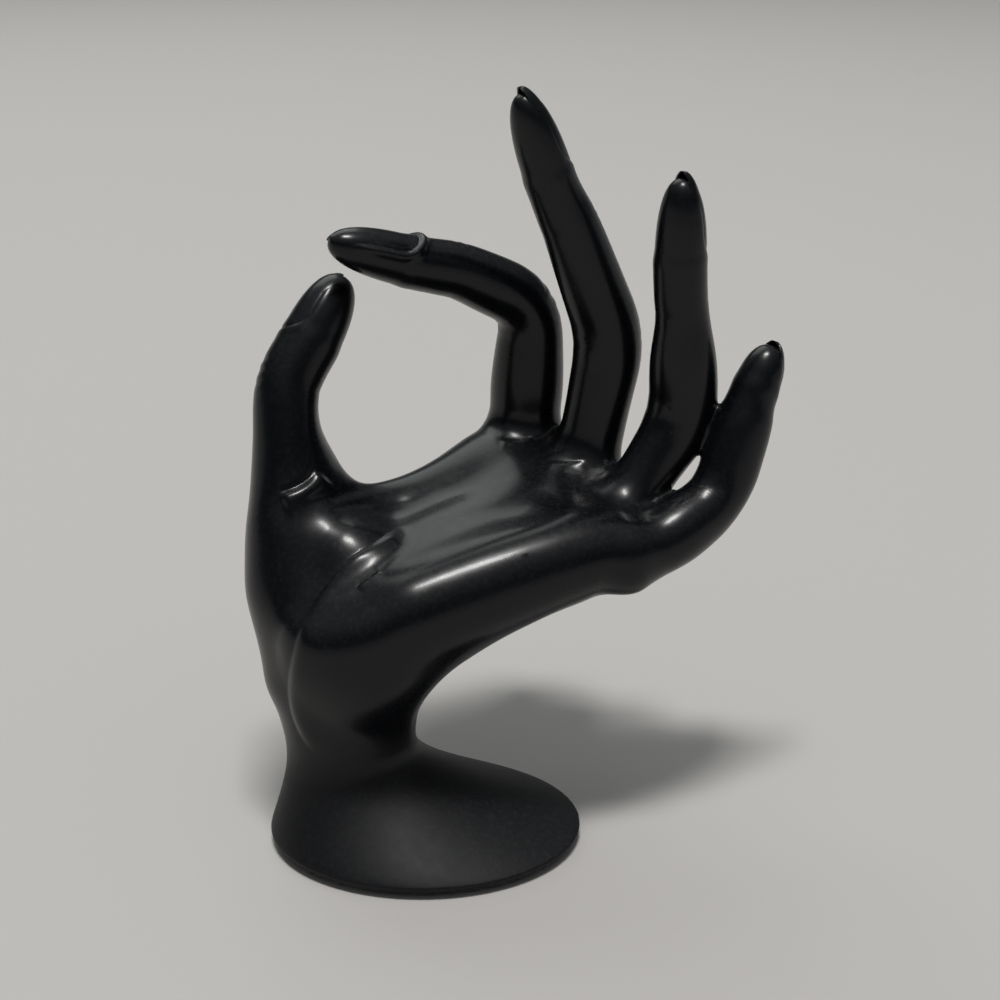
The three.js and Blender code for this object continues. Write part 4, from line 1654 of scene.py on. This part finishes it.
@dataclass
class FeltPad:
    """The felt pad under the foot: a cut oval with a soft, slightly uneven edge."""

    length: float
    depth: float
    thickness: float
    edge: float = 0.45
    sides: int = 240
    rings: int = 14
    lap: float = 3.0
    fray: float = 0.12
    fray_waves: tuple[Pair, ...] = ((23.0, 0.0), (41.0, 1.3), (67.0, 0.4))

    def build(self) -> bpy.types.Object:
        """Return the pad.

        Returns:
            The pad's object.
        """
        turn = np.linspace(0.0, 2.0 * math.pi, self.sides, endpoint=False)
        waves = sum(np.sin(count * turn + phase) for count, phase in self.fray_waves)
        fray = self.fray * waves / len(self.fray_waves)
        profile = self._profile()
        points = []
        for inset, height in profile:
            grow = fray - inset
            x = np.cos(turn) * (self.length / 2.0 + grow)
            y = np.sin(turn) * (self.depth / 2.0 + grow)
            points.append(np.stack([x, y, np.full(self.sides, height)], axis=1))
        faces: list[Sequence[int]] = []
        for ring in range(len(profile) - 1):
            for i in range(self.sides):
                j = (i + 1) % self.sides
                a, b = ring * self.sides + i, ring * self.sides + j
                faces.append((a, b, b + self.sides, a + self.sides))
        last = (len(profile) - 1) * self.sides
        faces.append(list(range(self.sides - 1, -1, -1)))
        faces.append(list(range(last, last + self.sides)))
        return new_piece("felt", np.concatenate(points), faces)

    def _profile(self) -> list[Pair]:
        """Return the pad's edge from the underside to the top, as insets and heights.

        Returns:
            Pairs of an inset and a height.
        """
        profile = [(self.lap * self.edge, 0.0)]
        for angle in np.linspace(-90.0, 0.0, self.rings // 2):
            profile.append((self.edge * (1.0 - cos(angle)), self.edge * (1.0 + sin(angle))))
        for angle in np.linspace(0.0, 90.0, self.rings // 2):
            height = self.thickness - self.edge * (1.0 - sin(angle))
            profile.append((self.edge * (1.0 - cos(angle)), height))
        profile.append((self.lap * self.edge, self.thickness))
        return profile


# Numbers of a mix node's colour sockets, among those of its other types
MIX_FIRST = 6
MIX_SECOND = 7
MIX_RESULT = 2


class NodeBench:
    """A node tree with short calls to add nodes and join them."""

    def __init__(self, tree: bpy.types.NodeTree) -> None:
        """Start on an empty tree."""
        self.tree = tree
        tree.nodes.clear()

    def add(self, kind: str, settings: Optional[dict] = None, **sockets: object) -> bpy.types.Node:
        """Add a node.

        Args:
            kind: The node's type.
            settings: Properties of the node itself.
            sockets: Input values or outputs to link, by socket name with _ for a space.

        Returns:
            The node.
        """
        node = self.tree.nodes.new(kind)
        for key, value in (settings or {}).items():
            setattr(node, key, value)
        for key, value in sockets.items():
            self.feed(node.inputs[key.replace("_", " ")], value)
        return node

    def feed(self, socket: bpy.types.NodeSocket, value: object) -> None:
        """Link an output to a socket, or set the socket's value.

        Args:
            socket: The socket.
            value: The value, or an output.
        """
        if isinstance(value, bpy.types.NodeSocket):
            self.tree.links.new(value, socket)
        else:
            socket.default_value = value

    def math(self, operation: str, first: object, second: object = 0.0) -> bpy.types.NodeSocket:
        """Return the result of a sum on two values.

        Args:
            operation: Name of the sum.
            first: The first, or an output.
            second: The second, or an output.

        Returns:
            An output with the result.
        """
        node = self.tree.nodes.new("ShaderNodeMath")
        node.operation = operation
        self.feed(node.inputs[0], first)
        self.feed(node.inputs[1], second)
        return node.outputs[0]

    def spread(self, value: object, low: float, high: float) -> bpy.types.NodeSocket:
        """Return a value from 0 to 1 mapped to a range.

        Args:
            value: The value, or an output.
            low: What 0 becomes.
            high: What 1 becomes.

        Returns:
            An output in the range.
        """
        node = self.add("ShaderNodeMapRange", Value=value)
        node.inputs["To Min"].default_value = low
        node.inputs["To Max"].default_value = high
        return node.outputs["Result"]

    def mask(self, value: object, ends: Pair, kind: str = "LINEAR") -> bpy.types.NodeSocket:
        """Return how far a value has gone from one end of a range to the other.

        Args:
            value: The value, or an output.
            ends: Where the mask is 0, and where it is 1.
            kind: How it runs between them.

        Returns:
            An output from 0 to 1.
        """
        node = self.add("ShaderNodeMapRange", {"interpolation_type": kind}, Value=value)
        node.inputs["From Min"].default_value, node.inputs["From Max"].default_value = ends
        return node.outputs["Result"]

    def noise(self, place: object, scale: object, **sockets: float) -> bpy.types.NodeSocket:
        """Return a noise pattern at a given scale."""
        return self.add("ShaderNodeTexNoise", Vector=place, Scale=scale, **sockets).outputs["Fac"]

    def mix(self, share: object, first: object, second: object) -> bpy.types.NodeSocket:
        """Return a mix of two colours.

        Args:
            share: Share of the second colour.
            first: The first, or an output.
            second: The second, or an output.

        Returns:
            An output with the mixed colour.
        """
        node = self.tree.nodes.new("ShaderNodeMix")
        node.data_type = "RGBA"
        self.feed(node.inputs[0], share)
        self.feed(node.inputs[MIX_FIRST], first)
        self.feed(node.inputs[MIX_SECOND], second)
        return node.outputs[MIX_RESULT]


Group = tuple[NodeBench, bpy.types.Node, bpy.types.Node]

# What the shared groups do to the noise, the way a face points and how hollow it is
NOISE_MIDDLE = 0.5
HOLLOW_ENDS = (0.5, 0.4)
DUST_ENDS = (0.48, 0.72)
DUST_FACING_UP = 0.7


def new_group(name: str, inputs: dict[str, float], outputs: Sequence[str]) -> Group:
    """Start a shader node group with values going in and out.

    Args:
        name: Name of the group.
        inputs: Names of the values going in, with their defaults.
        outputs: Names of the values coming out.

    Returns:
        The bench to build it on, its input node and its output node.
    """
    tree = bpy.data.node_groups.new(name, "ShaderNodeTree")
    bench = NodeBench(tree)
    for key, value in inputs.items():
        socket = tree.interface.new_socket(name=key, in_out="INPUT", socket_type="NodeSocketFloat")
        socket.default_value = value
    for key in outputs:
        tree.interface.new_socket(name=key, in_out="OUTPUT", socket_type="NodeSocketFloat")
    return bench, bench.add("NodeGroupInput"), bench.add("NodeGroupOutput")


def mottle_group() -> bpy.types.NodeTree:
    """Return the group for cloudy unevenness at a given size of cloud.

    Returns:
        The group's node tree.
    """
    bench, inlet, outlet = new_group("mottle", {"Scale": 60.0, "Sharpness": 1.0}, ("Cloud",))
    place = bench.add("ShaderNodeTexCoord").outputs["Object"]
    cloud = bench.noise(place, inlet.outputs["Scale"], Detail=5.0, Roughness=0.6)
    centred = bench.math("SUBTRACT", cloud, NOISE_MIDDLE)
    sharp = bench.math("MULTIPLY", centred, inlet.outputs["Sharpness"])
    shifted = bench.math("ADD", sharp, NOISE_MIDDLE)
    bench.feed(outlet.inputs["Cloud"], bench.add("ShaderNodeClamp", Value=shifted).outputs[0])
    return bench.tree


def dust_group() -> bpy.types.NodeTree:
    """Return the group for dust that settles on what faces up, and in hollows.

    Returns:
        The group's node tree.
    """
    bench, inlet, outlet = new_group("settled_dust", {"Amount": 0.2, "Scale": 300.0}, ("Dust",))
    place = bench.add("ShaderNodeTexCoord").outputs["Object"]
    geometry = bench.add("ShaderNodeNewGeometry")
    facing = bench.add("ShaderNodeSeparateXYZ", Vector=geometry.outputs["Normal"]).outputs["Z"]
    up = bench.add("ShaderNodeClamp", Value=facing).outputs[0]
    hollow = bench.mask(geometry.outputs["Pointiness"], HOLLOW_ENDS)
    grain = bench.noise(place, inlet.outputs["Scale"], Detail=8.0, Roughness=0.75)
    broken = bench.mask(grain, DUST_ENDS)
    where = bench.math("ADD", bench.math("MULTIPLY", up, DUST_FACING_UP), hollow)
    dust = bench.math("MULTIPLY", bench.math("MULTIPLY", where, broken), inlet.outputs["Amount"])
    bench.feed(outlet.inputs["Dust"], bench.add("ShaderNodeClamp", Value=dust).outputs[0])
    return bench.tree


class Effects:
    """The node groups that the finishes share, each built once."""

    def __init__(self) -> None:
        """Build the groups."""
        self.mottle = mottle_group()
        self.dust = dust_group()

    @staticmethod
    def place(bench: NodeBench, group: bpy.types.NodeTree, **sockets: float) -> bpy.types.Node:
        """Place a group in a material with its own values.

        Args:
            bench: Bench of the material.
            group: The group.
            sockets: Values of its inputs, by name.

        Returns:
            The group's node in the material.
        """
        node = bench.tree.nodes.new("ShaderNodeGroup")
        node.node_tree = group
        for key, value in sockets.items():
            node.inputs[key].default_value = value
        return node


def new_material(name: str) -> tuple[bpy.types.Material, NodeBench, bpy.types.Node]:
    """Start a material with a surface shader.

    Args:
        name: Name of the material.

    Returns:
        The material, a bench on its nodes, and its shader.
    """
    material = bpy.data.materials.new(name)
    material.use_nodes = True
    bench = NodeBench(material.node_tree)
    shader = bench.add("ShaderNodeBsdfPrincipled")
    bench.add("ShaderNodeOutputMaterial", Surface=shader.outputs["BSDF"])
    return material, bench, shader


Colour = tuple[float, float, float, float]


@dataclass(frozen=True)
class ResinFinish:
    """Black cast resin, waxed to a satin gloss."""

    name: str = "black_resin"
    colour: Colour = (0.0018, 0.0023, 0.0034, 1.0)
    cloud_colour: Colour = (0.0032, 0.0039, 0.0054, 1.0)
    dust_colour: Colour = (0.12, 0.115, 0.105, 1.0)
    rub_colour: Colour = (0.03, 0.031, 0.034, 1.0)
    roughness: Pair = (0.21, 0.29)
    index: float = 1.34
    coat: float = 0.1
    coat_roughness: float = 0.12
    foot_heights: Pair = (0.034, 0.014)
    foot_roughness: float = 0.28
    rub_ends: Pair = (0.56, 0.68)
    rub: float = 0.5
    fine_roughness: float = 0.05
    dust_roughness: float = 0.4
    peel_share: float = 0.18
    peel_scale: float = 320.0
    wave_scale: float = 70.0

    def material(self, effects: Effects) -> bpy.types.Material:
        """Return the material.

        Args:
            effects: The shared node groups.

        Returns:
            The material, with all its nodes.
        """
        material, bench, shader = new_material(self.name)
        place = bench.add("ShaderNodeTexCoord").outputs["Object"]
        broad = effects.place(bench, effects.mottle, Scale=45.0, Sharpness=2.2)
        fine = effects.place(bench, effects.mottle, Scale=420.0, Sharpness=2.0)
        dust = effects.place(bench, effects.dust, Amount=0.16, Scale=900.0)
        edge = bench.mask(bench.add("ShaderNodeNewGeometry").outputs["Pointiness"], self.rub_ends)
        rubbed = bench.math("MULTIPLY", edge, fine.outputs["Cloud"])
        body = bench.mix(broad.outputs["Cloud"], self.colour, self.cloud_colour)
        body = bench.mix(bench.math("MULTIPLY", rubbed, self.rub), body, self.rub_colour)
        bench.feed(shader.inputs["Base Color"], bench.mix(dust.outputs["Dust"], body, self.dust_colour))
        gloss = bench.spread(broad.outputs["Cloud"], *self.roughness)
        uneven = bench.math("MULTIPLY", fine.outputs["Cloud"], self.fine_roughness)
        dusty = bench.math("MULTIPLY", dust.outputs["Dust"], self.dust_roughness)
        gloss = bench.math("ADD", bench.math("ADD", gloss, uneven), dusty)
        level = bench.add("ShaderNodeSeparateXYZ", Vector=place).outputs["Z"]
        low = bench.mask(level, self.foot_heights, "SMOOTHSTEP")
        matt = bench.math("MULTIPLY", low, self.foot_roughness)
        bench.feed(shader.inputs["Roughness"], bench.math("ADD", gloss, matt))
        bench.feed(shader.inputs["Coat Weight"], bench.spread(low, self.coat, 0.0))
        peel = bench.noise(place, self.peel_scale, Detail=3.0, Roughness=0.5)
        waves = bench.noise(place, self.wave_scale, Detail=2.0, Roughness=0.4)
        height = bench.math("ADD", bench.math("MULTIPLY", peel, self.peel_share), waves)
        bump = bench.add("ShaderNodeBump", Height=height, Strength=0.16, Distance=0.0006)
        bench.feed(shader.inputs["Normal"], bump.outputs["Normal"])
        shader.inputs["IOR"].default_value = self.index
        shader.inputs["Coat Roughness"].default_value = self.coat_roughness
        return material


@dataclass(frozen=True)
class FeltFinish:
    """Black wool felt."""

    name: str = "black_felt"
    colour: Colour = (0.008, 0.008, 0.009, 1.0)
    fibre_colour: Colour = (0.035, 0.034, 0.034, 1.0)
    dust_colour: Colour = (0.16, 0.155, 0.145, 1.0)
    sheen: float = 0.5
    fibre_scale: float = 1800.0
    strands: Pair = (-0.4, 1.4)
    roughness: Pair = (0.88, 1.0)

    def material(self, effects: Effects) -> bpy.types.Material:
        """Return the material.

        Args:
            effects: The shared node groups.

        Returns:
            The material, with all its nodes.
        """
        material, bench, shader = new_material(self.name)
        place = bench.add("ShaderNodeTexCoord").outputs["Object"]
        cloud = effects.place(bench, effects.mottle, Scale=220.0, Sharpness=2.0)
        dust = effects.place(bench, effects.dust, Amount=0.35, Scale=1500.0)
        fibre = bench.noise(place, self.fibre_scale, Detail=6.0, Roughness=0.8, Distortion=1.6)
        strand = bench.math("MULTIPLY", bench.spread(fibre, *self.strands), cloud.outputs["Cloud"])
        body = bench.mix(strand, self.colour, self.fibre_colour)
        bench.feed(shader.inputs["Base Color"], bench.mix(dust.outputs["Dust"], body, self.dust_colour))
        bench.feed(shader.inputs["Roughness"], bench.spread(cloud.outputs["Cloud"], *self.roughness))
        bump = bench.add("ShaderNodeBump", Height=fibre, Strength=0.8, Distance=0.0004)
        bench.feed(shader.inputs["Normal"], bump.outputs["Normal"])
        shader.inputs["Sheen Weight"].default_value = self.sheen
        return material


@dataclass(frozen=True)
class SteelFinish:
    """Bare steel, drawn or sawn, with a little rust."""

    name: str
    colour: Colour
    dark_colour: Colour
    rust_colour: Colour = (0.16, 0.07, 0.03, 1.0)
    rust: float = 0.3
    line_scale: float = 900.0
    line_stretch: Triple = (1.0, 1.0, 0.05)
    roughness: Pair = (0.25, 0.55)

    def material(self, effects: Effects) -> bpy.types.Material:
        """Return the material.

        Args:
            effects: The shared node groups.

        Returns:
            The material, with all its nodes.
        """
        material, bench, shader = new_material(self.name)
        place = bench.add("ShaderNodeTexCoord").outputs["Object"]
        stretched = bench.add("ShaderNodeMapping", Vector=place, Scale=self.line_stretch)
        lines = bench.noise(stretched.outputs["Vector"], self.line_scale, Detail=4.0)
        cloud = effects.place(bench, effects.mottle, Scale=160.0, Sharpness=4.0)
        rust = bench.math("MULTIPLY", cloud.outputs["Cloud"], self.rust)
        body = bench.mix(lines, self.dark_colour, self.colour)
        bench.feed(shader.inputs["Base Color"], bench.mix(rust, body, self.rust_colour))
        bench.feed(shader.inputs["Metallic"], bench.math("SUBTRACT", 1.0, rust))
        bench.feed(shader.inputs["Roughness"], bench.spread(lines, *self.roughness))
        bump = bench.add("ShaderNodeBump", Height=lines, Strength=0.3, Distance=0.0002)
        bench.feed(shader.inputs["Normal"], bump.outputs["Normal"])
        return material


WIRE_FINISH = SteelFinish("drawn_wire", (0.55, 0.56, 0.57, 1.0), (0.34, 0.35, 0.36, 1.0), rust=0.12)
WEIGHT_FINISH = SteelFinish("sawn_steel", (0.36, 0.37, 0.38, 1.0), (0.2, 0.2, 0.21, 1.0), line_scale=500.0)


@dataclass(frozen=True)
class SoftLamp:
    """A large soft lamp that faces the object."""

    name: str
    place: Triple
    width: float
    height: float
    power: float
    colour: tuple[float, float, float] = (1.0, 1.0, 1.0)


@dataclass
class Studio:
    """Plain pale floor and soft light round the object."""

    floor_size: float = 12.0
    floor_colour: Colour = (0.48, 0.465, 0.45, 1.0)
    floor_roughness: float = 0.9
    sky_colour: Colour = (0.95, 0.97, 1.0, 1.0)
    sky_levels: tuple[Pair, ...] = ((0.05, 0.42), (0.17, 0.06), (0.3, 0.05), (1.0, 0.4))
    aim: Triple = (0.015, 0.01, 0.08)
    lamps: tuple[SoftLamp, ...] = (
        SoftLamp("key", (-0.05, -0.5, 4.12), 1.05, 0.6, 122.0, (1.0, 0.99, 0.97)),
        SoftLamp("fill", (-0.6, 1.6, 1.9), 1.6, 1.6, 13.0, (0.94, 1.0, 0.97)),
    )

    def build(self) -> None:
        """Make the floor, the sky and the lamps."""
        scene = bpy.context.scene
        scene.view_settings.view_transform = "Standard"
        self._floor()
        self._sky()
        for lamp in self.lamps:
            self._lamp(lamp)

    def _floor(self) -> bpy.types.Object:
        """Return the floor.

        Returns:
            The floor's object.
        """
        half = self.floor_size / 2.0
        corners = [(-half, -half, 0.0), (half, -half, 0.0), (half, half, 0.0), (-half, half, 0.0)]
        mesh = bpy.data.meshes.new("floor")
        mesh.from_pydata(corners, [], [(0, 1, 2, 3)])
        floor = bpy.data.objects.new("floor", mesh)
        bpy.context.scene.collection.objects.link(floor)
        material, _, shader = new_material("pale_floor")
        shader.inputs["Base Color"].default_value = self.floor_colour
        shader.inputs["Roughness"].default_value = self.floor_roughness
        mesh.materials.append(material)
        return floor

    def _sky(self) -> None:
        """Light the scene softly from all round: pale behind the floor, and from overhead."""
        world = bpy.data.worlds.new("studio")
        world.use_nodes = True
        bench = NodeBench(world.node_tree)
        place = bench.add("ShaderNodeTexCoord").outputs["Generated"]
        height = bench.add("ShaderNodeSeparateXYZ", Vector=place).outputs["Z"]
        ramp = bench.add("ShaderNodeValToRGB", Fac=height)
        ramp.color_ramp.interpolation = "EASE"
        stops = ramp.color_ramp.elements
        while len(stops) < len(self.sky_levels):
            stops.new(1.0)
        for stop, (level, strength) in zip(stops, self.sky_levels):
            stop.position = level
            stop.color = (strength, strength, strength, 1.0)
        light = bench.add("ShaderNodeBackground", Color=self.sky_colour, Strength=ramp.outputs["Color"])
        bench.add("ShaderNodeOutputWorld", Surface=light.outputs["Background"])
        bpy.context.scene.world = world

    def _lamp(self, lamp: SoftLamp) -> None:
        """Make one lamp.

        Args:
            lamp: Its name, place, size and power.
        """
        data = bpy.data.lights.new(lamp.name, "AREA")
        data.shape = "RECTANGLE"
        data.size = lamp.width
        data.size_y = lamp.height
        data.energy = lamp.power
        data.color = lamp.colour
        light = bpy.data.objects.new(lamp.name, data)
        light.location = lamp.place
        toward = Vector(self.aim) - Vector(lamp.place)
        light.rotation_euler = toward.to_track_quat("-Z", "Y").to_euler()
        bpy.context.scene.collection.objects.link(light)


def dress(piece: bpy.types.Object, material: bpy.types.Material) -> None:
    """Give a new piece its material and body.

    Args:
        piece: The piece.
        material: Its material.
    """
    piece.data.materials.clear()
    piece.data.materials.append(material)
    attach(piece, BODY)
    LOG.info("piece %s: %s", piece.name, material.name)


def dress_node(node: str, material: bpy.types.Material) -> None:
    """Give a carried-over node a finer material.

    Args:
        node: Name of the node.
        material: Its material.
    """
    solid = bpy.data.objects[node]
    solid.data.materials.clear()
    solid.data.materials.append(material)
    LOG.info("node %s: %s", node, material.name)


def main() -> None:
    """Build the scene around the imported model."""
    logging.basicConfig(level=logging.INFO, format="%(message)s")
    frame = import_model()
    camera = PhotoCamera()
    camera.build()
    effects = Effects()
    resin = ResinFinish().material(effects)
    casting, *nails = HandCasting(camera).build()
    for piece in (casting, *nails):
        dress(piece, resin)
    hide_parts("hand_casting")
    low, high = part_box("felt_pad")
    length, depth, thickness = ((b - a) / MM for a, b in zip(low, high))
    felt = FeltPad(length, depth, thickness).build()
    dress(felt, FeltFinish().material(effects))
    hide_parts("felt_pad")
    wire = WIRE_FINISH.material(effects)
    for node in frame["nodes"]:
        if node.endswith("_wire"):
            dress_node(node, wire)
    dress_node("foot_weight", WEIGHT_FINISH.material(effects))
    Studio().build()


if __name__ == "__main__":
    main()
